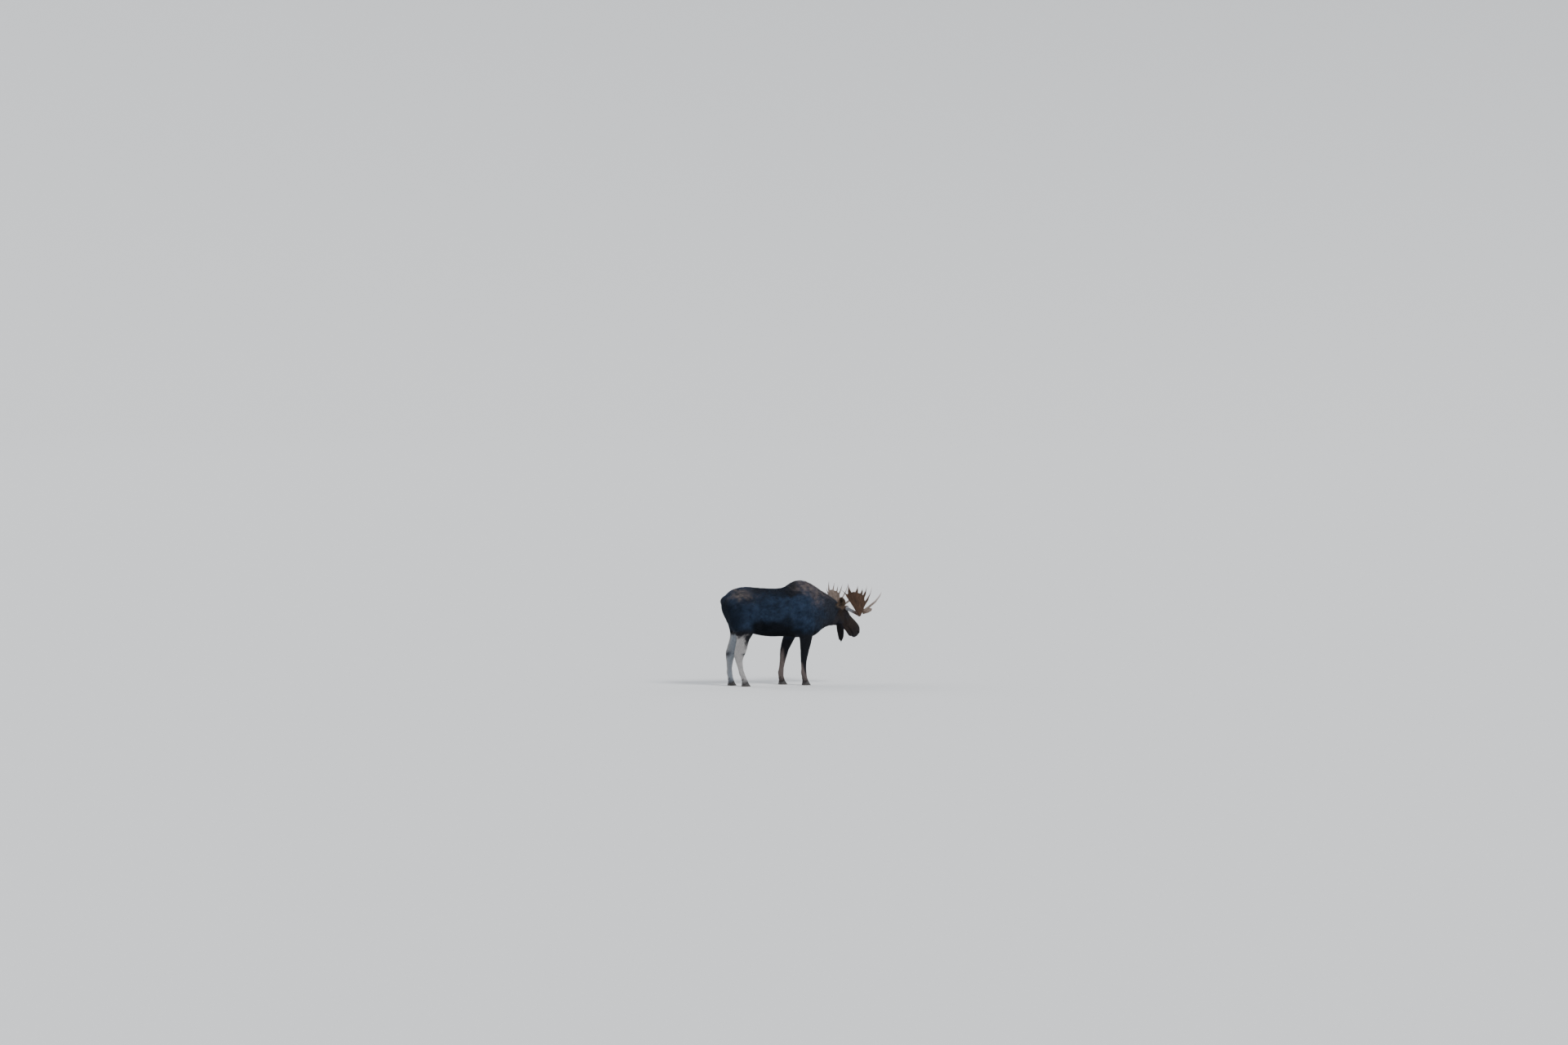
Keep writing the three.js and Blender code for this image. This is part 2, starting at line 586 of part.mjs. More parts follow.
function antler(side, name) {
  const face = facing(side, PALM_CUP);
  const beam = rod(
    BEAM.map(({ point, wide, thick }) => ({ point: beside(side, point), wide, thick })),
    face,
    12,
    1,
  );
  const line = new THREE.CatmullRomCurve3(BEAM.map(({ point }) => new THREE.Vector3(...beside(side, point))));
  const end = BEAM_END / (BEAM.length - 1);
  const [, grown] = parted(beam, ...burrPlane(side));
  const [shaft, heel] = parted(grown, line.getPoint(end).toArray(), line.getTangent(end).toArray());

  const plate = palmPlate(side);
  const brows = join(rod(onPlane(side, BROW), face, 8, 1), rod(onPlane(side, BROW_PADDLE), face, 10, 1));
  const front = facing(side, PALM_FRONT).toArray();
  const [, brow] = parted(brows, onPalm(side, BROW_CUT, 0, -cupping(BROW_CUT, 0)), front);

  piece(`antler_${name}_beam`, cut(shaft, headMass(SINK)), ANTLER);
  piece(`antler_${name}_palm`, join(plate, heel, ...TINES.map((shape) => tine(side, shape))), ANTLER);
  piece(`antler_${name}_brow`, cut(brow, palmPlate(side, GAP)), ANTLER);
}

function burrPlane(side) {
  return [beside(side, BURR.point), facing(side, BURR.normal).toArray()];
}

// The short post of bone under the burr, which the skin covers.
function pedicle(side) {
  const { from, to, radius } = PEDICLE;
  const stops = [from, to].map((place) => ({ point: beside(side, place), wide: radius, thick: radius }));
  const [post] = parted(rod(stops, facing(side, [0, 0, 1]), 12, 1), ...burrPlane(side));
  return post;
}

// ---------------------------------------------------------------- the moose, put together

const NECK_CUT = { point: [868, 0, 1360], normal: [0.982, 0, 0.188] };
const THROAT_CUT = { point: inHead(8, 0, -20), normal: [0.9, 0.14, -0.41] };
const SHOULDER_CUT = { point: [640, 0, 925], normal: [0, 0, 1] };
const STIFLE_CUT = { point: [-460, 0, 1000], normal: [-0.06, 0, 1] };

const roots = [];
for (const [side, name] of [[RIGHT, "right"], [LEFT, "left"]]) {
  roots.push(leg(`front_leg_${name}`, FRONT_LEG, side, SHOULDER_CUT));
  roots.push(leg(`hind_leg_${name}`, HIND_LEG, side, STIFLE_CUT));
}

const flesh = join(bodyMass(), headMass());
const [behindNeck, fromNeck] = parted(flesh, NECK_CUT.point, NECK_CUT.normal);
const [neck, bareHead] = parted(fromNeck, THROAT_CUT.point, THROAT_CUT.normal);
piece("trunk", join(behindNeck, ...roots), COAT);
piece("neck", neck, COAT);
piece("tail", cut(rod(TAIL, new THREE.Vector3(1, 0, 0), 8, 1), bodyMass(SINK)), COAT);

let head = bareHead;
for (const [side, name] of [[RIGHT, "right"], [LEFT, "left"]]) {
  head = cut(join(head, pedicle(side)), eyeBall(side, GAP));
  piece(`eye_${name}`, eyeBall(side), EYE_GLOSS);
  piece(`ear_${name}`, cut(earMass(side), earHollow(side), headMass(SINK), bodyMass(SINK)), EAR_COAT);
  antler(side, name);
}
piece("head", head, FACE);
piece("lower_jaw", cut(jawMass(), headMass(SINK)), FACE);
piece("bell", cut(bellMass(), headMass(SINK), jawMass(SINK), bodyMass(SINK)), COAT);

// The row's origin lies on the floor, under the middle of the whole moose.
const middle = new THREE.Box3().setFromObject(moose).getCenter(new THREE.Vector3());
moose.position.set(-middle.x, -middle.y, 0);

export default moose;
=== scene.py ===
import math

import bmesh
import bpy
import numpy as np
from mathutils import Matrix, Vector
from mathutils.bvhtree import BVHTree


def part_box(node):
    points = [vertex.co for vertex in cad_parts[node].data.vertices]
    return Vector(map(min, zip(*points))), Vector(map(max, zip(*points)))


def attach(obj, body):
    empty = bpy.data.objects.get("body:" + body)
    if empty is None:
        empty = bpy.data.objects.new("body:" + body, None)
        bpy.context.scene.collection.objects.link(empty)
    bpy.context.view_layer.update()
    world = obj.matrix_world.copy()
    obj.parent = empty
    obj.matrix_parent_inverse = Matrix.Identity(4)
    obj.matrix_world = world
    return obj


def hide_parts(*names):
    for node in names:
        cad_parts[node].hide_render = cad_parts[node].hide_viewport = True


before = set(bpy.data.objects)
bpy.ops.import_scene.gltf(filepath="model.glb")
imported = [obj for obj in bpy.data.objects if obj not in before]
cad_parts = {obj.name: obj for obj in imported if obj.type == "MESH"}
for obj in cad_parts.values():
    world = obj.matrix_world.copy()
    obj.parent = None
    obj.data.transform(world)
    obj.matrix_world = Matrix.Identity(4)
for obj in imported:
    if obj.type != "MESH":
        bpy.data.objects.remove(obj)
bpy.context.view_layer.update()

# ---------------------------------------------------------------- the hide
# One hide covers the trunk, neck, head, jaw, ears, bell, tail and legs without a seam. It is made
# in two finenesses, joined round the neck, and lies inside the solids by the depth of the coat.

FACE_PARTS = ["neck", "head", "lower_jaw", "ear_left", "ear_right", "bell"]
EYES = ["eye_left", "eye_right"]
LEGS = ["front_leg_left", "front_leg_right", "hind_leg_left", "hind_leg_right"]
FLESH = ["trunk", "tail", *FACE_PARTS, *LEGS]
SIDES = {-1: "right", 1: "left"}
BODY_CELL = 0.0125
FACE_CELL = 0.005
NECK_JOIN = 1.2  # where the two meet, along the trunk
JOIN_REACH = 0.1  # how far past it the finer one follows the coarser
TOUCHING = 1e-5  # corners nearer than this are one


def unit(v):
    v = np.asarray(v, float)
    return v / np.maximum(np.linalg.norm(v, axis=-1, keepdims=True), 1e-12)


def ramp(x, low, high):
    """0 below low, 1 above high and smooth between; low may be the greater."""
    t = np.clip((np.asarray(x, float) - low) / (high - low), 0, 1)
    return t * t * (3 - 2 * t)


def bell_curve(gap, reach):
    """1 where the gap is none, and almost 0 from twice the reach."""
    return np.exp(-((gap / reach) ** 2))


def blend(values, target, amount):
    """Values brought towards a target, by an amount from 0 to 1 at each place."""
    return values + amount[:, None] * (np.array(target) - values)


def make_active(obj):
    bpy.ops.object.select_all(action="DESELECT")
    obj.select_set(True)
    bpy.context.view_layer.objects.active = obj


def points_of(mesh, what="co"):
    found = np.empty(len(mesh.vertices) * 3, np.float32)
    mesh.vertices.foreach_get(what, found)
    return found.reshape(-1, 3).astype(float)


def set_points(mesh, points):
    mesh.vertices.foreach_set("co", points.astype(np.float32).ravel())
    mesh.update()


def mesh_of(bm, name):
    mesh = bpy.data.meshes.new(name)
    bm.to_mesh(mesh)
    bm.free()
    return mesh


def new_object(name, data):
    obj = bpy.data.objects.new(name, data)
    bpy.context.scene.collection.objects.link(obj)
    return obj


def keep_largest_shell(obj):
    """Deletes the small shells that a remesh leaves inside a solid."""
    name = obj.name
    make_active(obj)
    bpy.ops.object.mode_set(mode="EDIT")
    bpy.ops.mesh.select_all(action="SELECT")
    bpy.ops.mesh.separate(type="LOOSE")
    bpy.ops.object.mode_set(mode="OBJECT")
    shells = sorted(bpy.context.selected_objects, key=lambda shell: len(shell.data.vertices))
    for shell in shells[:-1]:
        bpy.data.objects.remove(shell)
    shells[-1].name = name
    return shells[-1]


def remeshed(name, node_names, cell, in_one=True):
    """These CAD nodes as one even mesh, in one shell unless there are to be several."""
    bm = bmesh.new()
    for node in node_names:
        bm.from_mesh(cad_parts[node].data)
    bmesh.ops.remove_doubles(bm, verts=bm.verts, dist=TOUCHING)
    obj = new_object(name, mesh_of(bm, name))
    make_active(obj)
    modifier = obj.modifiers.new("remesh", "REMESH")
    modifier.mode, modifier.voxel_size, modifier.adaptivity = "VOXEL", cell, 0
    bpy.ops.object.modifier_apply(modifier=modifier.name)
    return keep_largest_shell(obj) if in_one else obj


class Net:
    """The neighbours of each vertex of a mesh, to spread values over its surface."""

    def __init__(self, mesh):
        pairs = np.empty(len(mesh.edges) * 2, np.int32)
        mesh.edges.foreach_get("vertices", pairs)
        self.ends = pairs.reshape(-1, 2).T
        self.size = len(mesh.vertices)
        self.degree = np.maximum(np.bincount(pairs, minlength=self.size), 1)

    def spread(self, values, times, pace=1.0):
        """Smooths values over the surface. `pace` may be one number for each vertex."""
        values = np.asarray(values, float)
        columns = values.reshape(self.size, -1).T
        (a, b), size = self.ends, self.size
        for _ in range(times):
            total = [np.bincount(a, v[b], size) + np.bincount(b, v[a], size) for v in columns]
            columns = columns + pace * (np.array(total) / self.degree - columns)
        return columns.T.reshape(values.shape)

    def smoothed(self, points, reach, cell, pace=1.0):
        """Smooths facets away over this reach, in a mesh of this cell, without shrinking it."""
        rounds = round(2 * (reach / cell) ** 2)
        low = self.spread(points, rounds, pace)
        return low + self.spread(points - low, rounds, pace)


def tree_of(node_names):
    """A search tree over these CAD nodes, and which of them each face belongs to."""
    corners, faces, owner = [], [], []
    for k, node in enumerate(node_names):
        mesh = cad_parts[node].data
        base = len(corners)
        corners += [v.co[:] for v in mesh.vertices]
        faces += [[base + i for i in p.vertices] for p in mesh.polygons]
        owner += [k] * len(mesh.polygons)
    return BVHTree.FromPolygons(corners, faces), np.array(owner)


def nearest(points, tree):
    """For each point, how far the tree's surface is, the face there and the place on it."""
    hits = [tree.find_nearest(p) for p in points.tolist()]
    return tuple(np.array([hit[k] for hit in hits]) for k in (3, 2, 0))


def nearest_node(points, node_names):
    """The index of the CAD node that each point is nearest to."""
    tree, owner = tree_of(node_names)
    return owner[nearest(points, tree)[1]]


def middle(node):
    low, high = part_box(node)
    return np.array((low + high) / 2)


# The trunk's own frame: x forward from its middle, y to the left, z up from the ground.
RUMP = -0.83
trunk_low, trunk_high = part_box("trunk")
trunk_middle = np.array([trunk_low.x - RUMP, (trunk_low.y + trunk_high.y) / 2, 0])


def on_trunk(x, y, z):
    return trunk_middle + (x, y, z)


# The head's own frame: u from the poll to the nose, v to its left and w out of the face.
HEAD_PITCH = math.radians(49)
EYE_AT = (0.212, 0.095, -0.066)
head_v = unit(middle("eye_left") - middle("eye_right"))
head_u = math.cos(HEAD_PITCH) * np.cross(head_v, (0, 0, 1)) - np.array([0, 0, math.sin(HEAD_PITCH)])
head_w = np.cross(head_u, head_v)
head_axes = np.array([head_u, head_v, head_w])
poll = (middle("eye_left") + middle("eye_right")) / 2 - EYE_AT[0] * head_u - EYE_AT[2] * head_w


def on_head(u, v, w):
    return poll + u * head_u + v * head_v + w * head_w


def in_head(points):
    return (points - poll) @ head_axes.T


def head_way(way, side):
    """A way along u, out to one side and along w, turned into the model's axes."""
    return np.array([way[0], side * way[1], way[2]]) @ head_axes


# How far, in metres, each region's facets are smoothed away; the legs' smoothing grows upwards.
SMOOTHING = {
    "trunk": 0.046, "neck": 0.042, "head": 0.011, "lower_jaw": 0.008, "tail": 0.011, "bell": 0.016,
}
EAR_SMOOTHING = 0.006
LEG_SMOOTHING = (0.012, 0.034)
LEG_TOP = 0.95
SMOOTHING_FADE = 0.04  # over which one region's smoothing passes into the next


def smoothed_points(obj, node_names, cell):
    """The places of a remeshed copy of these nodes, each region smoothed by its own reach."""
    points = points_of(obj.data)
    net = Net(obj.data)
    region = nearest_node(points, node_names)
    reach = np.zeros(len(points))
    for k, name in enumerate(node_names):
        here = region == k
        if name in LEGS:
            rise = ramp(points[here, 2], 0, LEG_TOP)
            reach[here] = LEG_SMOOTHING[0] + rise * (LEG_SMOOTHING[1] - LEG_SMOOTHING[0])
        else:
            reach[here] = SMOOTHING.get(name, EAR_SMOOTHING)
    reach = net.spread(reach, round(SMOOTHING_FADE / cell))
    return net.smoothed(points, reach.max(), cell, (reach / reach.max()) ** 2)


def keep_side(obj, x, ahead):
    """Cuts an object square to X and keeps the part ahead of the cut, or behind it."""
    bm = bmesh.new()
    bm.from_mesh(obj.data)
    bmesh.ops.bisect_plane(
        bm, geom=[*bm.verts, *bm.edges, *bm.faces], dist=TOUCHING, plane_co=(x, 0, 0),
        plane_no=(1, 0, 0), clear_outer=not ahead, clear_inner=ahead,
    )
    bm.to_mesh(obj.data)
    bm.free()


join_x = on_trunk(NECK_JOIN, 0, 0)[0]
body_half = remeshed("body_half", [*FLESH, *EYES], BODY_CELL)
set_points(body_half.data, smoothed_points(body_half, FLESH, BODY_CELL))
face_half = remeshed("face_half", [*FACE_PARTS, *EYES], FACE_CELL)
face_points = smoothed_points(face_half, [*FACE_PARTS, *EYES], FACE_CELL)
body_tree = BVHTree.FromObject(body_half, bpy.context.evaluated_depsgraph_get())
by_neck = np.flatnonzero(face_points[:, 0] < join_x + JOIN_REACH)
on_body = nearest(face_points[by_neck], body_tree)[2]
follow = ramp(face_points[by_neck, 0], join_x + JOIN_REACH, join_x + 0.03)
face_points[by_neck] = blend(face_points[by_neck], on_body, follow)
set_points(face_half.data, face_points)
keep_side(body_half, join_x - BODY_CELL / 2, ahead=False)
keep_side(face_half, join_x + FACE_CELL / 2, ahead=True)

bm = bmesh.new()
bm.from_mesh(body_half.data)
bm.from_mesh(face_half.data)
bmesh.ops.bridge_loops(bm, edges=[e for e in bm.edges if e.is_boundary])
bmesh.ops.recalc_face_normals(bm, faces=bm.faces)
skin_mesh = mesh_of(bm, "skin")
bpy.data.objects.remove(body_half)
bpy.data.objects.remove(face_half)
skin = new_object("skin", skin_mesh)

# Where each part of the hide is: 1 on the part, 0 off it, fading over a few centimetres between.
points = points_of(skin_mesh)
net = Net(skin_mesh)
region = nearest_node(points, FLESH)
on_part = {name: net.spread((region == k).astype(float), 5) for k, name in enumerate(FLESH)}
on_ears = on_part["ear_left"] + on_part["ear_right"]
on_face = on_part["head"] + on_part["lower_jaw"]
on_legs = sum(on_part[leg] for leg in LEGS)

# Muscle and bone under the hide of the body, as lines from start to end in the trunk's frame, with
# how far each reaches around it and how high it rises. Each is on both sides.
BODY_RELIEF = [
    ((0.60, 0.17, 1.70), (0.72, 0.235, 1.28), 0.050, 0.012),  # ridge of the shoulder blade
    ((0.76, 0.16, 1.64), (0.91, 0.19, 1.16), 0.050, -0.016),  # hollow before the shoulder
    ((0.39, 0.26, 1.58), (0.46, 0.25, 1.04), 0.055, -0.018),  # hollow behind the shoulder
    ((0.52, 0.25, 1.40), (0.60, 0.23, 1.12), 0.075, 0.018),  # muscle over the elbow
    ((0.84, 0.18, 1.17), (0.80, 0.20, 1.09), 0.065, 0.018),  # point of the shoulder
    ((0.53, 0.20, 1.00), (0.56, 0.20, 0.96), 0.045, 0.014),  # elbow
    ((-0.22, 0.26, 1.52), (-0.15, 0.28, 1.38), 0.100, -0.022),  # hollow of the flank
    ((-0.37, 0.21, 1.64), (-0.33, 0.22, 1.60), 0.060, 0.018),  # point of the hip
    ((-0.53, 0.24, 1.46), (-0.60, 0.20, 1.08), 0.045, -0.011),  # seam between the thigh muscles
    ((-0.35, 0.25, 1.50), (-0.27, 0.24, 1.10), 0.055, 0.014),  # front edge of the thigh
    ((-0.25, 0.23, 1.04), (-0.27, 0.22, 0.98), 0.055, 0.014),  # stifle
    ((-0.16, 0.29, 1.24), (-0.13, 0.24, 0.99), 0.050, -0.015),  # fold of the flank
    ((-0.75, 0.12, 1.42), (-0.70, 0.16, 1.15), 0.060, 0.012),  # buttock
    ((1.22, 0.15, 1.15), (0.94, 0.18, 1.06), 0.035, -0.010),  # groove of the throat
]
RELIEF_SCALE = 1.45
SPINE = ((-0.72, 0, 1.66), (0.20, 0, 1.71), 0.045, 0.007)


def swell(points, normals, start, end, reach, height):
    """Raises the surface along its normals near the line from start to end."""
    axis = end - start
    along = np.clip((points - start) @ axis / (axis @ axis), 0, 1)
    gap = np.linalg.norm(points - start - along[:, None] * axis, axis=1)
    return points + normals * (height * bell_curve(gap, reach))[:, None]


def swell_pairs(points, relief, at, scale=1.0):
    """Raises the hide near each line of a table, on both sides of the middle."""
    set_points(skin_mesh, points)
    normals = points_of(skin_mesh, "normal")
    for (x0, y0, z0), (x1, y1, z1), reach, height in relief:
        for side in SIDES:
            start, end = at(x0, side * y0, z0), at(x1, side * y1, z1)
            points = swell(points, normals, start, end, reach, scale * height)
    return points, normals


points, normals = swell_pairs(points, BODY_RELIEF, on_trunk, RELIEF_SCALE)
points = swell(points, normals, on_trunk(*SPINE[0]), on_trunk(*SPINE[1]), *SPINE[2:])

# The middle line of each leg by height, from its solid, and the sinew grooves beside the bones.
SINEW_GROOVES = [  # legs, height from and to, how far behind the middle, width, depth
    (LEGS[:2], 0.26, 0.50, 0.014, 0.010, 0.006),
    (LEGS[2:], 0.24, 0.48, 0.014, 0.010, 0.006),
    (LEGS[2:], 0.58, 0.84, 0.040, 0.024, 0.013),
]


def leg_line(leg):
    """The height, x and y of the middle of each ring of a leg's solid."""
    corners = points_of(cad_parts[leg].data)
    level = np.round(corners[:, 2], 3)
    rings = [corners[level == z] for z in np.unique(level) if (level == z).sum() > 5]
    return np.array([(np.round(ring[0, 2], 3), *ring[:, :2].mean(0)) for ring in rings]).T


leg_lines = {leg: leg_line(leg) for leg in LEGS}


def from_leg_line(points, leg):
    """How far each point lies ahead of the leg's middle line and to its left."""
    z, *line = leg_lines[leg]
    return tuple(points[:, k] - np.interp(points[:, 2], z, line[k]) for k in (0, 1))


for legs, bottom, top, behind, width, depth in SINEW_GROOVES:
    for leg in legs:
        fore, _ = from_leg_line(points, leg)
        here = bell_curve(fore + behind, width) * on_part[leg]
        here *= ramp(points[:, 2], bottom, bottom + 0.06) * ramp(points[:, 2], top, top - 0.06)
        points -= normals * np.abs(normals[:, 1:2]) * (depth * here)[:, None]

# Bone, muscle and folds of the head, in its own frame and on both sides.
FACE_RELIEF = [
    ((0.170, 0.090, -0.036), (0.235, 0.088, -0.044), 0.018, 0.011),  # brow over the eye
    ((0.232, 0.095, -0.092), (0.290, 0.082, -0.112), 0.012, -0.009),  # tear groove
    ((0.215, 0.108, -0.118), (0.350, 0.076, -0.124), 0.016, 0.009),  # cheekbone
    ((0.110, 0.105, -0.190), (0.190, 0.108, -0.210), 0.048, 0.011),  # jaw muscle
    ((0.230, 0.100, -0.170), (0.330, 0.076, -0.190), 0.028, -0.011),  # hollow before it
    ((0.120, 0.098, -0.046), (0.160, 0.104, -0.070), 0.022, -0.006),  # temple
    ((0.290, 0.044, -0.024), (0.480, 0.042, -0.006), 0.018, 0.007),  # edge of the nasal bone
    ((0.320, 0.074, -0.090), (0.440, 0.066, -0.080), 0.032, -0.010),  # side of the nose
    ((0.600, 0.080, -0.088), (0.640, 0.058, -0.078), 0.017, 0.009),  # upper wing of the nostril
    ((0.560, 0.084, -0.128), (0.622, 0.072, -0.146), 0.016, 0.008),  # lower wing of the nostril
    ((0.470, 0.074, -0.165), (0.590, 0.078, -0.190), 0.020, 0.009),  # swell of the upper lip
    ((0.470, 0.066, -0.140), (0.560, 0.078, -0.155), 0.010, -0.003),  # fold above the lip
]
NOSTRIL = [
    ((0.632, 0.056, -0.098), (0.618, 0.074, -0.116), 0.0120, -0.026),
    ((0.618, 0.074, -0.116), (0.580, 0.084, -0.108), 0.0085, -0.018),
]
MOUTH_CORNER = 0.40
LIP_REACH = 0.0075
LIP_DEPTH = 0.012

points, normals = swell_pairs(points, FACE_RELIEF, on_head)
points, normals = swell_pairs(points, NOSTRIL, on_head)
near_mouth = np.flatnonzero((on_face > 0.2) & (in_head(points)[:, 0] > MOUTH_CORNER - 0.05))
to_seam = sum(nearest(points[near_mouth], tree_of([part])[0])[0] for part in ("head", "lower_jaw"))
crease = LIP_DEPTH * bell_curve(to_seam, LIP_REACH)
crease *= ramp(in_head(points[near_mouth])[:, 0], MOUTH_CORNER - 0.03, MOUTH_CORNER + 0.02)
points[near_mouth] -= normals[near_mouth] * crease[:, None]
in_crease = np.zeros(len(points))
in_crease[near_mouth] = crease / LIP_DEPTH

# The depth of the coat over each part, by which the hide lies inside the solids.
COAT_DEPTH = {
    "trunk": 0.019, "neck": 0.022, "head": 0.005, "lower_jaw": 0.004, "tail": 0.010, "bell": 0.012,
}
EAR_DEPTH = 0.0028
LEG_DEPTH = (0.004, 0.016)
depth = sum(on_part[name] * COAT_DEPTH.get(name, 0) for name in FLESH) + on_ears * EAR_DEPTH
up_leg = ramp(points[:, 2], 0.35, LEG_TOP)
depth += on_legs * (LEG_DEPTH[0] + up_leg * (LEG_DEPTH[1] - LEG_DEPTH[0]))
depth = net.spread(depth, 6)
set_points(skin_mesh, points)
points = net.spread(points - points_of(skin_mesh, "normal") * depth[:, None], 1, 0.4)
set_points(skin_mesh, points)

# ---------------------------------------------------------------- the eyes
# Dark brown balls with a long pupil lying level, in sockets closed by thick black lids. The lids
# are folds of the hide, so their mesh is part of it.

BALL_RADIUS = 0.0215
GAZE = (0.20, 0.94, 0.24)  # along u, outwards and w
SLIT = (0.93, 0.0, -0.36)
OPEN_ALONG = (math.radians(50), math.radians(43))  # half the slit towards the nose and the ear
OPEN_ACROSS = (math.radians(29), math.radians(21))  # to the upper lid and the lower one
ROUNDNESS = 1.5  # of the slit: below 2, its corners are pointed
LID_WIDTH = math.radians(24)
LID_PROFILE = [  # how far from slit to rim, and height over the ball
    (0.0, -0.0012), (-0.02, 0.0010), (0.10, 0.0024), (0.30, 0.0034), (0.60, 0.0032), (1.0, 0.0008),
    (1.0, -0.004), (0.3, -0.003),
]
LID_SIDES = 56
LID_COVER = 0.0022  # the hide's height over the ball round the slit
EYE_DEPTH = 0.0035
LASHES = 26
LASH_LENGTH = 0.015
LASH_HEIGHT = 0.0025  # of their roots over the ball
LASH_RADIUS = 0.00045
eye_centres = {
    side: middle(f"eye_{word}") - EYE_DEPTH * unit(head_way(GAZE, side))
    for side, word in SIDES.items()
}


def eye_axes(side):
    """The eye's own directions: its gaze, along its slit to the nose, and to the upper lid."""
    gaze = unit(head_way(GAZE, side))
    slit = np.array(SLIT) @ head_axes
    slit = unit(slit - gaze * (slit @ gaze))
    return gaze, slit, unit(np.cross(gaze, slit)) * side * -1


def slit_angle(turn):
    """The angle from the gaze to the edge of the slit, in each direction round it."""
    along = np.where(np.cos(turn) > 0, *OPEN_ALONG)
    across = np.where(np.sin(turn) > 0, *OPEN_ACROSS)
    parts = np.abs(np.cos(turn) / along) ** ROUNDNESS + np.abs(np.sin(turn) / across) ** ROUNDNESS
    return parts ** (-1 / ROUNDNESS)


def out_of_eye(side, angle, turn):
    """The way out of the eye at an angle from its gaze, in each direction round it."""
    gaze, slit, up = eye_axes(side)
    outward = np.cos(angle)[:, None] * gaze + (np.sin(angle) * np.cos(turn))[:, None] * slit
    return outward + (np.sin(angle) * np.sin(turn))[:, None] * up


def lids(side):
    turn = np.arange(LID_SIDES) * 2 * math.pi / LID_SIDES
    angles = [slit_angle(turn) + LID_WIDTH * part for part, _ in LID_PROFILE]
    return [
        eye_centres[side] + out_of_eye(side, angle, turn) * (BALL_RADIUS + height)
        for angle, (_, height) in zip(angles, LID_PROFILE)
    ]


def lashes(side):
    """Each lash of the upper lid: its root, its tip and the way across it."""
    _, slit, up = eye_axes(side)
    draw = np.random.default_rng(70 + side)
    turn = np.radians(np.linspace(25, 155, LASHES)) + draw.normal(0, 0.03, LASHES)
    outward = out_of_eye(side, slit_angle(turn) + math.radians(5), turn)
    root = eye_centres[side] + outward * (BALL_RADIUS + LASH_HEIGHT)
    way = 0.75 * outward + 0.25 * np.cos(turn)[:, None] * slit - 0.22 * up
    way = unit(way + 0.10 * draw.normal(size=(LASHES, 3)))
    return root, root + way * (LASH_LENGTH * draw.uniform(0.6, 1.1, LASHES))[:, None], slit


def add_spike(bm, root, tip, across):
    """A thin closed spike with three sides."""
    way = unit(tip - root)
    one = unit(np.cross(way, across))
    two = np.cross(way, one)
    ways = [math.cos(turn) * one + math.sin(turn) * two for turn in (0, 2.09, 4.19)]
    base = [bm.verts.new(root + LASH_RADIUS * side_way) for side_way in ways]
    top = bm.verts.new(tip)
    bm.faces.new(base[::-1])
    for k in range(3):
        bm.faces.new((base[k], base[(k + 1) % 3], top))


def closed_rings(bm, rings):
    """Faces between rings that close on themselves both ways."""
    verts = [[bm.verts.new(p) for p in ring] for ring in rings]
    for k, ring in enumerate(verts):
        after = verts[(k + 1) % len(verts)]
        for i in range(len(ring)):
            j = (i + 1) % len(ring)
            bm.faces.new((ring[i], ring[j], after[j], after[i]))


# The hide drapes over each ball, and is pushed behind it inside the slit. `from_slit` is the angle
# from each place of the hide to the edge of the nearest slit.
SOCKET_REACH = 0.05
SUNK_BY = 0.006  # how far inside the ball the hide lies within the slit
from_slit = np.full(len(points), math.pi)
for side, centre in eye_centres.items():
    gaze, slit, up = eye_axes(side)
    outward = points - centre
    far = np.linalg.norm(outward, axis=1)
    near_eye = (far < SOCKET_REACH) & (outward @ gaze > -0.012)
    outward = outward[near_eye] / far[near_eye, None]
    angle = np.arccos(np.clip(outward @ gaze, -1, 1))
    turn = np.arctan2(outward @ up, outward @ slit)
    past_slit = angle - slit_angle(turn)
    from_slit[near_eye] = np.minimum(from_slit[near_eye], past_slit)
    cover = BALL_RADIUS + LID_COVER - 0.004 * ramp(angle, math.radians(75), math.radians(110))
    rise = np.zeros(len(points))
    rise[near_eye] = np.maximum(cover - far[near_eye], 0)
    rise[near_eye] *= ramp(angle, math.radians(118), math.radians(98))
    rise = np.maximum(rise, net.spread(rise, 10))
    points = points + unit(points - centre) * rise[:, None]
    far = np.linalg.norm(points - centre, axis=1)[near_eye]
    opened = ramp(past_slit, math.radians(17), math.radians(5))
    sunk = far + opened * (BALL_RADIUS - SUNK_BY - far)
    points[near_eye] = centre + outward * sunk[:, None]
set_points(skin_mesh, points)

# ---------------------------------------------------------------- the coat
# Coarse winter hair in flat overlapping locks that run from the nose to the tail and down the legs:
# short on the face and feet, long on the hump, the crest of the neck and the bell.

# For each region: the locks' length, width and how far their tips stand off the hide.
HAIR = {
    "trunk": (0.052, 0.0068, 0.011),
    "neck": (0.066, 0.0068, 0.014),
    "head": (0.019, 0.0034, 0.0024),
    "lower_jaw": (0.018, 0.0034, 0.0026),
    "tail": (0.085, 0.0075, 0.012),
    "bell": (0.075, 0.0070, 0.010),
    "ear_left": (0.020, 0.0040, 0.0028),
    "ear_right": (0.020, 0.0040, 0.0028),
}
LEG_HAIR = ((0.022, 0.0037, 0.0016), (0.044, 0.0066, 0.008))  # at the foot and at the trunk
MANE_HAIR = (0.105, 0.0074, 0.023)  # along the hump and the crest of the neck
FOOT_HAIR = (0.036, 0.0040, 0.0055)  # over the upper rim of the hooves
MUZZLE_HAIR = (0.008, 0.0022, 0.0008)
INNER_EAR_HAIR = (0.036, 0.0032, 0.0085)
CLAW_HAIR = (0.044, 0.0040, 0.0170)  # over the dewclaws
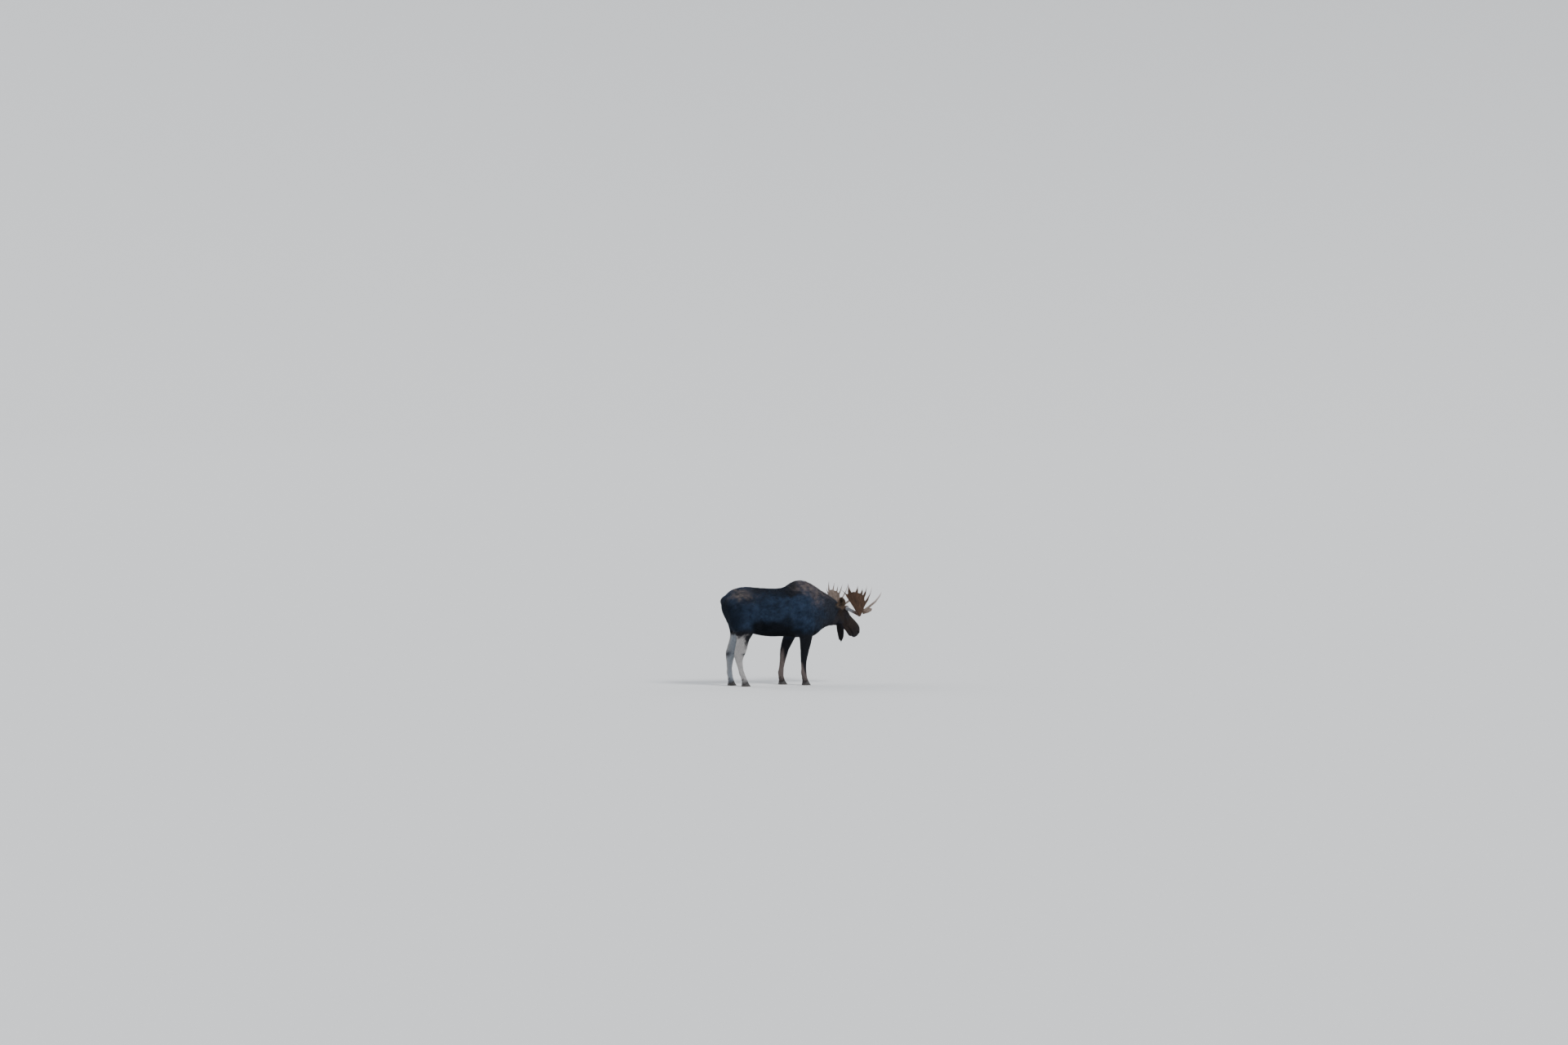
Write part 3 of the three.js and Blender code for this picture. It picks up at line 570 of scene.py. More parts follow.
OVER_CLAW = (0.006, 0, 0.030)  # from each dewclaw's middle to where its hair grows
CLAW_REACH = 0.020

normals = points_of(skin_mesh, "normal")
ahead, _, height = (points - trunk_middle).T  # along the trunk from its middle, and off the ground
in_head_now = in_head(points)
rise = ramp(height, 0.25, LEG_TOP)[:, None]
hair = sum(on_part[name][:, None] * np.array(HAIR[name]) for name in HAIR)
hair += on_legs[:, None] * (np.array(LEG_HAIR[0]) * (1 - rise) + np.array(LEG_HAIR[1]) * rise)
on_crest = ramp(normals[:, 2], 0.45, 0.95) * ramp(ahead, 0.30, 0.62) * (1 - on_face) * (1 - on_ears)
on_crest *= ramp(ahead, 1.36, 1.25)
hair = blend(hair, MANE_HAIR, 0.85 * on_crest)
on_throat = on_part["neck"] * ramp(normals[:, 2], -0.2, -0.8)
hair = blend(hair, MANE_HAIR, 0.5 * on_throat)
on_muzzle = on_face * ramp(in_head_now[:, 0], 0.44, 0.62)
hair = blend(hair, MUZZLE_HAIR, on_muzzle)
hair = net.spread(hair, 6)
near_head = ramp(in_head_now[:, 0], -0.16, 0.06) * on_part["neck"]
cheek_hair = 0.5 * (np.array(HAIR["head"]) + np.array(HAIR["neck"]))
hair = blend(hair, np.minimum(hair, cheek_hair), 0.75 * near_head)
hair *= 1 - 0.55 * bell_curve(from_slit, math.radians(55))[:, None]
hair = net.spread(hair, 40, np.clip(on_face + on_part["neck"], 0, 1) * ramp(ahead, 1.10, 1.20))


def blot(places, centre, size):
    """1 at a place, fading to 0 about `size` away from it along each axis."""
    return np.exp(-((((places - centre) / size) ** 2).sum(1)))


hair = blend(hair, FOOT_HAIR, on_legs * ramp(height, 0.135, 0.100))
for leg in LEGS:
    end, _, word = leg.split("_")
    for which in ("inner", "outer"):
        over_claw = middle(f"{end}_dewclaw_{word}_{which}") + OVER_CLAW
        hair = blend(hair, CLAW_HAIR, blot(points, over_claw, CLAW_REACH))


# The lie of the coat: which way the locks point at each place of the hide.
EAR_AXES = {"ear_right": (-0.88, -0.22, 0.42), "ear_left": (-0.60, 0.68, 0.42)}
EAR_OPENINGS = {"ear_right": (-0.10, -0.95, -0.25), "ear_left": (0.45, 0.75, -0.10)}
on_flank = np.abs(normals[:, 1])
down_rump = ramp(ahead, -0.45, -0.78)
down_shoulder = ramp(ahead, 0.30, 0.62) * ramp(height, 1.72, 1.35)
trunk_lie = (
    -1 + 0.75 * down_rump + 0.45 * down_shoulder,
    -0.32 * on_flank - down_rump - 0.75 * down_shoulder,
)
neck_lie = (np.full(len(points), -0.8), 0.35 - 1.15 * on_flank - 0.9 * on_throat)
lie = np.zeros((len(points), 3))
for part, (forwards, upwards) in (("trunk", trunk_lie), ("neck", neck_lie)):
    lie[:, (0, 2)] += on_part[part][:, None] * np.stack([forwards, upwards], 1)
lie += on_face[:, None] * (-head_u - 0.25 * head_w * on_flank[:, None])
for ear, axis in EAR_AXES.items():
    lie += on_part[ear][:, None] * (np.array(axis) @ head_axes)
lie += (on_legs + on_part["tail"] + on_part["bell"])[:, None] * np.array([-0.16, 0, -1.0])
bell_low, bell_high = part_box("bell")
gathered = 9 * on_part["bell"] * ramp(height, bell_high.z - 0.10, bell_low.z)
lie += gathered[:, None] * (middle("bell") - points) * (1, 1, 0)
lie = net.spread(lie, 14)


def along_surface(vectors, normals):
    return unit(vectors - normals * (vectors * normals).sum(1)[:, None])


lie = along_surface(lie, normals)

# The markings, shared by the hide and the locks, with a painted sheen of sky light over the coat.
# Each colour is laid over the ones before it.
# The near-black coat, tinted blue by a painted sheen of sky light
FLANK_WITH_SKY_SHEEN = (0.0215, 0.0355, 0.0660)
BELLY = (0.0030, 0.0030, 0.0040)
HUMP_BROWN = (0.205, 0.160, 0.145)
RUMP_DARK = (0.0065, 0.0100, 0.0180)
RUMP_BROWN = (0.032, 0.028, 0.031)
RUMP_TAN = (0.155, 0.130, 0.122)
BACK_DARK = (0.0075, 0.0070, 0.0085)
NECK_DARK = (0.0240, 0.0270, 0.0370)
FACE_BROWN = (0.047, 0.0325, 0.0270)
MUZZLE_DARK = (0.025, 0.0185, 0.0175)
BELL_BLACK = (0.0095, 0.0072, 0.0070)
EAR_TAN = (0.130, 0.088, 0.060)
EAR_BACK = (0.060, 0.042, 0.032)
EAR_CREAM = (0.26, 0.19, 0.125)
# Painted shade deep in the ears' hollows
EAR_HOLLOW_SHADE = (0.012, 0.009, 0.008)
LEG_PALE = (0.47, 0.45, 0.44)
LEG_BLUE = (0.33, 0.37, 0.42)
LEG_PINK = (0.17, 0.135, 0.125)
LEG_DARK = (0.012, 0.012, 0.015)
MOTTLE_WAVES = 9
WHOLE_WAVE = 6.3  # a full turn in radians, or a little over


def mottle(places, size, seed):
    """A soft random pattern from -1 to 1, about `size` across."""
    draw = np.random.default_rng(seed)
    total = np.zeros(len(places))
    for _ in range(MOTTLE_WAVES):
        wave = unit(draw.normal(size=3)) * (2 * math.pi / size) * draw.uniform(0.6, 1.7)
        total += np.sin(places @ wave + draw.uniform(0, WHOLE_WAVE))
    return np.clip(2 * total / MOTTLE_WAVES, -1, 1)


# Where the ears' hollows are: 1 on the inside, how far up the ear, and how far beside its middle.
EAR_ROOT = (0.076, 0.092, -0.092)
into_ear, up_ear, beside_ear = np.zeros((3, len(points)))
for side, word in SIDES.items():
    ear = f"ear_{word}"
    axis = unit(np.array(EAR_AXES[ear]) @ head_axes)
    opening = np.array(EAR_OPENINGS[ear]) @ head_axes
    opening = unit(opening - axis * (opening @ axis))
    off_root = points - poll - head_way(EAR_ROOT, side)
    this_ear = region == FLESH.index(ear)
    up_ear[this_ear] = (off_root @ axis)[this_ear]
    beside_ear[this_ear] = (off_root @ np.cross(axis, opening))[this_ear]
    facing_out = ramp(normals @ opening, 0.05, 0.45)
    into_ear += this_ear * facing_out * ramp(off_root @ opening, 0.012, 0.0)
into_ear = net.spread(into_ear, 3)
hair = blend(hair, INNER_EAR_HAIR, into_ear)


def markings(points):
    """The coat's colour at each vertex of the hide, with its painted sheen and highlight."""
    x, z = ahead, height
    patchy = mottle(points, 0.22, 3)
    streaky = mottle(points * (0.45, 1, 1), 0.045, 4)  # longer along the body than across it
    ragged = 0.055 * mottle(points, 0.16, 6) + 0.030 * mottle(points, 0.06, 7)
    ragged_x, ragged_z = x + ragged, z + 0.8 * (0.05 * mottle(points, 0.14, 8) + 0.025 * streaky)
    # Painted sheen: brightness in patches and streaks, and a painted highlight over the shoulder
    sheen = 1 + 0.30 * mottle(points, 0.30, 9) + 0.25 * mottle(points, 0.09, 5) + 0.28 * streaky
    sheen += 0.35 * blot(np.stack([x, z], 1), (0.62, 1.38), (0.30, 0.28))
    colour = np.tile(FLANK_WITH_SKY_SHEEN, (len(points), 1)) * np.clip(sheen, 0.4, 2.0)[:, None]

    def lay(shade, amount):
        nonlocal colour
        colour = blend(colour, shade, np.clip(amount, 0, 1))

    under_flank = ramp(z + 0.05 * patchy, 1.24, 1.06) * ramp(x, -0.40, -0.24) * ramp(x, 0.56, 0.36)
    under_belly = ramp(z + 0.04 * patchy, 1.06, 0.92)
    lay(BELLY, on_part["trunk"] * np.maximum(0.93 * under_flank, under_belly))
    lay(BELLY, 0.8 * on_part["trunk"] * ramp(x, -0.62, -0.76) * ramp(z, 1.62, 1.45))
    low_rump = ramp(ragged_x, -0.38, -0.58) * ramp(ragged_z, 1.50, 1.36)
    lay(RUMP_DARK, 0.75 * on_part["trunk"] * low_rump)
    along_back = ramp(ragged_z, 1.53, 1.66) * ramp(x, -0.36, -0.20) * ramp(x, 0.62, 0.50)
    lay(BACK_DARK, 0.75 * on_part["trunk"] * along_back)
    spots = np.stack([ragged_x, ragged_z], 1)
    lay(BACK_DARK, 0.9 * blot(spots, (0.40, 1.60), (0.16, 0.05)))
    lay(NECK_DARK, (on_part["neck"] + on_part["trunk"]) * ramp(x + 0.09 * patchy, 0.72, 1.08))
    lay(HUMP_BROWN, 0.85 * blot(spots, (0.70, 1.73), (0.19, 0.10)) * (0.85 + 0.5 * streaky))
    lay(HUMP_BROWN, 0.55 * blot(spots, (0.88, 1.58), (0.10, 0.16)) * (0.8 + 0.6 * streaky))
    lay(HUMP_BROWN, 0.35 * blot(spots, (1.06, 1.54), (0.20, 0.09)) * on_crest)
    lay(RUMP_BROWN, 0.75 * blot(spots, (-0.38, 1.60), (0.26, 0.13)) * (0.8 + 0.5 * streaky))
    lay(RUMP_TAN, 0.95 * blot(spots, (-0.50, 1.60), (0.15, 0.075)) * (0.8 + 0.7 * streaky))
    lay(FACE_BROWN, on_face * (1 + 0.3 * patchy))
    lay(MUZZLE_DARK, on_muzzle)
    lay(NECK_DARK, 0.6 * on_part["head"] * ramp(in_head_now[:, 2], -0.15, -0.25))
    lay(EAR_TAN, on_ears)
    lay(EAR_BACK, 0.75 * on_ears * (1 - into_ear) * ramp(z, 1.36, 1.46))
    lay(EAR_CREAM, 0.8 * into_ear * ramp(up_ear, 0.12, 0.03))
    # Painted shade: the middle of each ear's hollow is darkened
    hollow = blot(np.stack([up_ear, beside_ear], 1), (0.130, 0), (0.072, 0.032))
    lay(EAR_HOLLOW_SHADE, 0.95 * into_ear * hollow)
    lay(BELL_BLACK, 1.4 * on_part["bell"])
    lay(BELL_BLACK, 0.7 * on_throat * ramp(x, 0.95, 1.15))
    lay(BELL_BLACK, 0.9 * on_part["tail"])
    for leg in LEGS:
        fore, left = from_leg_line(points, leg)
        inside = left * (1 if "right" in leg else -1)
        lay(LEG_DARK, on_part[leg] * ramp(z, 1.15, 0.95))
        if leg.startswith("hind"):
            behind = ramp(fore, 0.06, -0.06)
            uneven = 0.035 * patchy + 0.030 * mottle(points, 0.05, 8)
            pale = ramp(z - 0.16 * behind - 0.05 * ramp(inside, -0.02, 0.03) + uneven, 0.80, 0.68)
            lay(LEG_PALE, 0.95 * on_part[leg] * pale)
            lay(LEG_BLUE, 0.8 * on_part[leg] * pale * ramp(inside, 0.0, 0.04))
            by_hock = np.stack([fore, z], 1)
            lay(LEG_DARK, on_part[leg] * blot(by_hock, (0.075, 0.578), (0.045, 0.020)))
            point = blot(by_hock, (-0.070, 0.570), (0.055, 0.050))
            lay(LEG_DARK, 0.85 * on_part[leg] * point * ramp(inside, -0.01, 0.02))
        else:
            behind = ramp(fore, 0.02, -0.04)
            pale = z - 0.15 * behind - 0.24 * ramp(inside, -0.01, 0.03) + 0.03 * patchy
            pale = ramp(pale, 0.30, 0.16)
            lay(LEG_PINK, 0.9 * on_part[leg] * pale)
    lay(LEG_DARK, on_legs * 0.55 * ramp(z, 0.15, 0.10))
    return colour


BARE_NOSE = (0.0085, 0.0065, 0.0060)
LID_BLACK = (0.010, 0.008, 0.007)
colour = markings(points)
nose_pad = blot(in_head_now, (0.664, 0.0, -0.145), (0.035, 0.030, 0.055))
in_nostril = sum(
    blot(in_head_now, (0.614, side * 0.074, -0.110), (0.028, 0.020, 0.018)) for side in SIDES
)
bare = np.clip(1.3 * nose_pad + 1.4 * in_nostril + 0.5 * in_crease, 0, 1)
colour = blend(colour, BARE_NOSE, bare)
colour = blend(colour, LID_BLACK, 0.75 * ramp(from_slit, math.radians(42), math.radians(22)))


def feed(tree, node, **inputs):
    """Sets each input of a node to its value, or links it to a socket."""
    for key, value in inputs.items():
        socket = node.inputs[key.replace("_", " ")]
        if isinstance(value, bpy.types.NodeSocket):
            tree.links.new(value, socket)
        else:
            socket.default_value = value


def principled(name, **inputs):
    """A material, its tree and its shader."""
    material = bpy.data.materials.new(name)
    material.use_nodes = True
    shader = material.node_tree.nodes["Principled BSDF"]
    feed(material.node_tree, shader, **inputs)
    return material, material.node_tree, shader


def add_node(tree, kind, settings=None, **inputs):
    node = tree.nodes.new(kind)
    for key, value in (settings or {}).items():
        setattr(node, key, value)
    feed(tree, node, **inputs)
    return node


def noise(tree, scale, detail=3.0):
    """A noise on the piece's own coordinates."""
    own = add_node(tree, "ShaderNodeTexCoord").outputs["Object"]
    pattern = add_node(tree, "ShaderNodeTexNoise", Vector=own, Scale=scale, Detail=detail)
    return pattern.outputs["Fac"]


def shaded(tree, colour, pattern, low, high):
    """A colour times a pattern, whose 0.3 to 0.7 is brought to low to high."""
    limits = {"From_Min": 0.3, "From_Max": 0.7, "To_Min": low, "To_Max": high}
    factor = add_node(tree, "ShaderNodeMapRange", Value=pattern, **limits).outputs["Result"]
    scaling = {"operation": "SCALE"}
    scaled = add_node(tree, "ShaderNodeVectorMath", scaling, Vector=colour, Scale=factor)
    return scaled.outputs["Vector"]


def bumped(tree, shader, height, strength, distance):
    bump = add_node(tree, "ShaderNodeBump", Height=height, Strength=strength, Distance=distance)
    feed(tree, shader, Normal=bump.outputs["Normal"])


def marked(name, speckle, low, high, **inputs):
    """A material in the markings' colours, times a noise of this scale and detail."""
    material, tree, shader = principled(name, **inputs)
    colours = add_node(tree, "ShaderNodeAttribute", {"attribute_name": "markings"}).outputs["Color"]
    feed(tree, shader, Base_Color=shaded(tree, colours, noise(tree, *speckle), low, high))
    return material, tree, shader


def dress(mesh, material, colour=None):
    """Gives a mesh its material, and its markings if it has any."""
    if colour is not None:
        layer = mesh.color_attributes.new("markings", "FLOAT_COLOR", "POINT")
        rgba = np.ones((len(colour), 4), np.float32)
        rgba[:, :3] = np.clip(colour, 0, 1)
        layer.data.foreach_set("color", rgba.ravel())
    mesh.shade_smooth()
    mesh.materials.append(material)


# The lids join the hide, and the hide takes its own material.
HIDE_SHADE = 0.75  # how much darker the hide is than its locks
body_points = len(skin_mesh.vertices)
bm = bmesh.new()
bm.from_mesh(skin_mesh)
for side in SIDES:
    closed_rings(bm, lids(side))
    roots, tips, across = lashes(side)
    for root, tip in zip(roots, tips):
        add_spike(bm, root, tip, across)
bmesh.ops.recalc_face_normals(bm, faces=bm.faces)
bm.to_mesh(skin_mesh)
bm.free()
lid_points = len(skin_mesh.vertices) - body_points
hide, hide_tree, hide_shader = marked(
    "hide", (90,), 0.75, 1.3, Roughness=0.60, Specular_IOR_Level=0.22,
)
bumped(hide_tree, hide_shader, noise(hide_tree, 420, 5), 0.5, 0.002)
dress(skin_mesh, hide, np.vstack([colour * HIDE_SHADE, np.tile(LID_BLACK, (lid_points, 1))]))
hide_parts(*FLESH)
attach(skin, "root")

# The coat itself: locks are sown over the hide, and each is laid along it in a few steps.
coat_material, _, _ = marked(
    "coat", (260, 2), 0.7, 1.35,
    Roughness=0.50, Specular_IOR_Level=0.17, Specular_Tint=(0.72, 0.86, 1.0, 1.0),
)
triangles = np.empty(len(skin_mesh.loop_triangles) * 3, np.int32)
skin_mesh.loop_triangles.foreach_get("vertices", triangles)
triangles = triangles.reshape(-1, 3)
triangles = triangles[(triangles < body_points).all(1)]
hide_search = BVHTree.FromPolygons(points.tolist(), triangles.tolist())
corner_a, corner_b, corner_c = (points[triangles[:, k]] for k in range(3))
triangle_area = np.linalg.norm(np.cross(corner_b - corner_a, corner_c - corner_a), axis=1) / 2


def sow(where, count, draw):
    """Roots of about `count` locks over the hide, evenly by area times the weight `where`."""
    weight = triangle_area * where[triangles].mean(1)
    steps = np.cumsum(weight) / weight.sum()
    picked = np.searchsorted(steps, (np.arange(count) + draw.uniform(0, 1, count)) / count)
    picked = np.minimum(picked, len(triangles) - 1)
    one, two = np.sqrt(draw.uniform(0, 1, count)), draw.uniform(0, 1, count)
    shares = np.stack([1 - one, one * (1 - two), one * two], 1)
    return triangles[picked], shares


def mixed(values, corners, shares):
    """A map of the hide read at the roots."""
    shares = shares if values.ndim == 1 else shares[:, :, None]
    return (values[corners] * shares).sum(1)


LOCK = {  # for each step along a lock: how far along, width, and height off the hide
    "long": ((0.0, 0.65, -0.10), (0.34, 1.0, 0.50), (0.72, 0.66, 0.92), (1.0, 0.0, 1.0)),
    "short": ((0.0, 0.75, -0.10), (0.5, 0.9, 0.75), (1.0, 0.0, 1.0)),
    "flat": ((0.0, 0.80, -0.10), (0.52, 0.95, 0.72), (1.0, 0.0, 1.0)),
}
LOCK_THICKNESS = 0.30  # of its width
FOLLOWING = 0.8  # how much a lock turns with the hide at each step
LOCK_SIZES = (0.72, 1.25)  # from the smallest to the largest, beside the size for the place
STAND_SIZES = (0.35, 1.15)  # and how far their tips stand off the hide
SHADES = (0.35, 2.2)  # the darkest and the palest, beside the colour of the place
SWIRL = 12  # how far patches of the coat turn from its lie, in degrees
SWIRL_SIZE = 0.10
PATCH = 0.003  # how large each lock is on the bake map
MAP_EDGE = 0.01  # left free round the map


def lay_locks(place, facing, heading, length, width, stand, droop, form):
    """The corners of every lock, ring by ring from its root, as it follows the hide."""
    rings, reached = [], 0.0
    for along, wide, high in LOCK[form]:
        if along > reached:
            step = ((along - reached) * length)[:, None]
            sag = np.array([0, 0, -1.0]) * step * (droop * along)[:, None]
            onward = place + heading * step + sag
            hits = [hide_search.find_nearest(p) for p in onward.tolist()]
            on_hide = np.array([h[0] for h in hits])
            facing = unit(facing + FOLLOWING * np.array([h[1] for h in hits]))
            free = np.clip(droop * 1.2 * along, 0, 1)[:, None]  # how far it hangs off the hide
            lifted = np.maximum(((onward - on_hide) * facing).sum(1), 0)[:, None] * facing
            heading = along_surface(onward - place, facing)
            place, reached = on_hide + free * lifted, along
        across = np.cross(heading, facing) * (width * wide / 2)[:, None]
        centre = place + facing * (stand * high)[:, None]
        if wide:
            top = facing * (width * wide * LOCK_THICKNESS)[:, None]
            rings.append(np.stack([centre - across, centre + top, centre + across], 1))
        else:
            rings.append(centre[:, None])
    return np.concatenate(rings, 1)


def lock_faces(form):
    """The triangles of one lock: its three sides, its tip and the cap at its root."""
    spans = len(LOCK[form]) - 2
    faces = [(0, 2, 1)]
    for k in range(spans):
        for side in range(3):
            a, b = 3 * k + side, 3 * k + (side + 1) % 3
            faces += [(a, b, b + 3), (a, b + 3, a + 3)]
    tip = 3 * (spans + 1)
    faces += [(tip - 3 + side, tip - 3 + (side + 1) % 3, tip) for side in range(3)]
    return np.array(faces)


def coat_piece(
    name, where, count, form, unwrap, seed, droop=0.0, spread_deg=9, tint=0.22, fade=0.75,
):
    """Sows, lays and joins the locks of one part of the coat."""
    draw = np.random.default_rng(seed)
    corners, shares = sow(where, count, draw)
    root = mixed(points, corners, shares)
    normal = unit(mixed(normals, corners, shares))
    heading = along_surface(mixed(lie, corners, shares), normal)
    turn = np.radians(draw.normal(0, spread_deg, count) + SWIRL * mottle(root, SWIRL_SIZE, 11))
    heading = heading * np.cos(turn)[:, None] + np.cross(normal, heading) * np.sin(turn)[:, None]
    size = mixed(hair, corners, shares)
    length, width, stand = (size * draw.uniform(*LOCK_SIZES, (count, 3))).T
    stand = stand * draw.uniform(*STAND_SIZES, count)
    droop, tint = (mixed(np.broadcast_to(v, len(points)), corners, shares) for v in (droop, tint))
    corners_xyz = lay_locks(root, normal, heading, length, width, stand, droop, form)
    each = corners_xyz.shape[1]
    faces = (lock_faces(form)[None] + each * np.arange(count)[:, None, None]).reshape(-1, 3)

    uneven = (1 + tint * draw.normal(size=count)).clip(*SHADES)
    shade = mixed(colour, corners, shares) * uneven[:, None]
    along = np.concatenate([[step[0]] * (3 if step[1] else 1) for step in LOCK[form]])
    paling = 1 + fade * (along - 0.5)  # darker at the root, paler at the tip
    tints = shade[:, None] * paling[None, :, None]

    mesh = bpy.data.meshes.new(name)
    mesh.vertices.add(count * each)
    mesh.vertices.foreach_set("co", corners_xyz.astype(np.float32).ravel())
    mesh.loops.add(faces.size)
    mesh.loops.foreach_set("vertex_index", faces.ravel().astype(np.int32))
    mesh.polygons.add(len(faces))
    mesh.polygons.foreach_set("loop_start", np.arange(0, faces.size, 3, dtype=np.int32))
    mesh.update(calc_edges=True)
    dress(mesh, coat_material, tints.reshape(-1, 3))

    side = np.concatenate([[-1, 0, 1] if step[1] else [0] for step in LOCK[form]])
    spot = MAP_EDGE + (1 - 2 * MAP_EDGE) * unwrap(root)
    patch = spot[:, None] + PATCH / 2 * np.stack([side, 2 * along - 1], 1)[None]
    patch = patch.reshape(-1, 2)[faces.ravel()].clip(0, 1)
    mesh.uv_layers.new(name="OFBake").uv.foreach_set("vector", patch.astype(np.float32).ravel())

    obj = new_object(name, mesh)
    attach(obj, "root")


def round_and_along(axis_point, axis, length, start=0.0):
    """An unwrap like a tube's: the angle round an axis, and the distance along it."""
    axis = unit(axis)
    one = unit(np.cross(axis, (0.3, 1, 0.2)))
    two = np.cross(axis, one)

    def unwrap(places):
        off = places - axis_point
        angle = np.arctan2(off @ two, off @ one) / (2 * math.pi) + 0.5
        return np.stack([angle, ((off @ axis - start) / length).clip(0, 1)], 1)

    return unwrap


def side_by_side(unwraps, tests):
    """Several unwraps next to each other, each for the places that its test picks."""

    def unwrap(places):
        found = unwraps[0](places)
        for k, (one, test) in enumerate(zip(unwraps, tests)):
            here = test(places)
            part = one(places[here])
            found[here] = np.stack([(k + part[:, 0]) / len(unwraps), part[:, 1]], 1)
        return found

    return unwrap


def in_box(node):
    """A test of which places lie in a CAD node's box, or within a centimetre of it."""
    low, high = (np.array(corner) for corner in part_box(node))
    return lambda places: ((places > low - 0.01) & (places < high + 0.01)).all(1)


trunk_axis = (on_trunk(0, 0, 1.3), (1, 0, 0))
on_trunk_part = on_part["trunk"] + on_legs * ramp(height, 0.80, 0.90)
TRUNK_PIECES = [  # name, from and to along the trunk, locks
    ("coat_rump", -0.90, -0.30, 18800),
    ("coat_flanks", -0.30, 0.36, 18800),
    ("coat_shoulders", 0.36, 1.30, 19000),
]
for k, (name, start, end, count) in enumerate(TRUNK_PIECES):
    where = on_trunk_part * (ahead >= start) * (ahead < end)
    unwrap = round_and_along(*trunk_axis, end - start, start)
    coat_piece(name, where, count, "flat", unwrap, 20 + k,
               droop=0.12, tint=0.20 + 0.15 * on_crest)

neck_unwrap = round_and_along(on_trunk(0.85, 0, 1.33), (1, 0.05, -0.16), 0.6)
coat_piece("coat_neck", on_part["neck"], 12400, "long", neck_unwrap, 30, spread_deg=10,
           droop=0.12 + 0.5 * on_throat, tint=0.20 + 0.22 * ramp(ahead, 0.85, 1.05))

head_unwrap = round_and_along(on_head(0, 0, -0.12), head_u, 0.72, -0.05)
not_lids = ramp(from_slit, math.radians(17), math.radians(24))
haired_face = on_face * (1 - bare) * not_lids * (1 + 0.5 * on_muzzle)
coat_piece("coat_face", haired_face, 17000, "short", head_unwrap, 31,
           spread_deg=7, fade=0.4, tint=0.18)

leg_unwraps = [
    round_and_along(middle(leg) * (1, 1, 0), (0, 0, 1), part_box(leg)[1].z) for leg in LEGS
]
under_foot = ramp(height, 0.14, 0.12) * ramp(normals[:, 2], -0.35, -0.60)
lower_legs = ramp(height, 0.92, 0.82) * (1 - under_foot)
for k, pair in enumerate(("front", "hind")):
    legs = LEGS[2 * k:2 * k + 2]
    where = sum(on_part[leg] for leg in legs) * lower_legs
    unwrap = side_by_side(leg_unwraps[2 * k:2 * k + 2], [in_box(leg) for leg in legs])
    coat_piece(f"coat_{pair}_legs", where, 18000, "short", unwrap, 32 + k,
               spread_deg=8, fade=0.22, tint=0.12, droop=ramp(height, 0.135, 0.105))


def end_to_end(names):
    """An unwrap along each of these ears or hanging parts."""
    unwraps = []
    for name in names:
        low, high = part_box(name)
        axis = np.array(EAR_AXES[name]) @ head_axes if name in EAR_AXES else np.array([0, 0, -1.0])
        reach = (high - low).length
        unwraps.append(round_and_along(middle(name) - axis * reach / 2, axis, reach))
    return side_by_side(unwraps, [in_box(name) for name in names])


coat_piece("coat_ears", on_ears * (1 + 0.4 * into_ear), 9000, "short",
           end_to_end(("ear_left", "ear_right")), 40)
hanging = 0.35 + 0.45 * ramp(height, bell_low.z + 0.10, bell_low.z + 0.03) * on_part["bell"]
coat_piece("coat_bell_tail", 1.6 * on_part["bell"] + on_part["tail"], 5200, "long",
           end_to_end(("bell", "tail")), 41, droop=hanging, spread_deg=15, tint=0.35)

# The eyeballs: each is a globe with a bulging cornea, coloured from its pupil outwards.
CORNEA = math.radians(27)
CORNEA_BULGE = 0.0017
PUPIL = (math.radians(15), math.radians(8))  # half its length, lying level, and half its height
PUPIL_BLACK = (0.002, 0.002, 0.002)
IRIS = (0.040, 0.018, 0.0085)
IRIS_RIM = (0.012, 0.006, 0.004)
EYE_WHITE = (0.020, 0.013, 0.011)
eye_material, _, _ = marked(
    "eye", (900, 2), 0.7, 1.3,
    Roughness=0.14, Specular_IOR_Level=0.20, Coat_Weight=0.08, Coat_Roughness=0.03,
)
for side, word in SIDES.items():
    gaze, slit, _ = eye_axes(side)
    bm = bmesh.new()
    bmesh.ops.create_uvsphere(bm, u_segments=56, v_segments=40, radius=1)
    globe = mesh_of(bm, f"eyeball_{word}")
    ball = points_of(globe)
    angle = np.arccos(ball[:, 2].clip(-1, 1))
    turned = ball @ np.array([slit, np.cross(gaze, slit), gaze])
    bulge = CORNEA_BULGE * ramp(angle, CORNEA * 1.15, 0)
    set_points(globe, eye_centres[side] + turned * (BALL_RADIUS + bulge)[:, None])
    level = unit(np.cross(gaze, (0, 0, 1)))
    along, across = turned @ level, turned @ np.cross(level, gaze)
    in_pupil = ramp(np.hypot(along / math.sin(PUPIL[0]), across / math.sin(PUPIL[1])), 1.12, 0.92)
    in_pupil *= angle < math.pi / 2
    tone = np.tile(EYE_WHITE, (len(ball), 1))
    tone = blend(tone, IRIS_RIM, ramp(angle, CORNEA * 1.12, CORNEA))
    tone = blend(tone, IRIS, ramp(angle, CORNEA * 0.97, CORNEA * 0.75))
    dress(globe, eye_material, blend(tone, PUPIL_BLACK, in_pupil))
    eyeball = new_object(f"eyeball_{word}", globe)
    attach(eyeball, "root")
    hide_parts(f"eye_{word}")
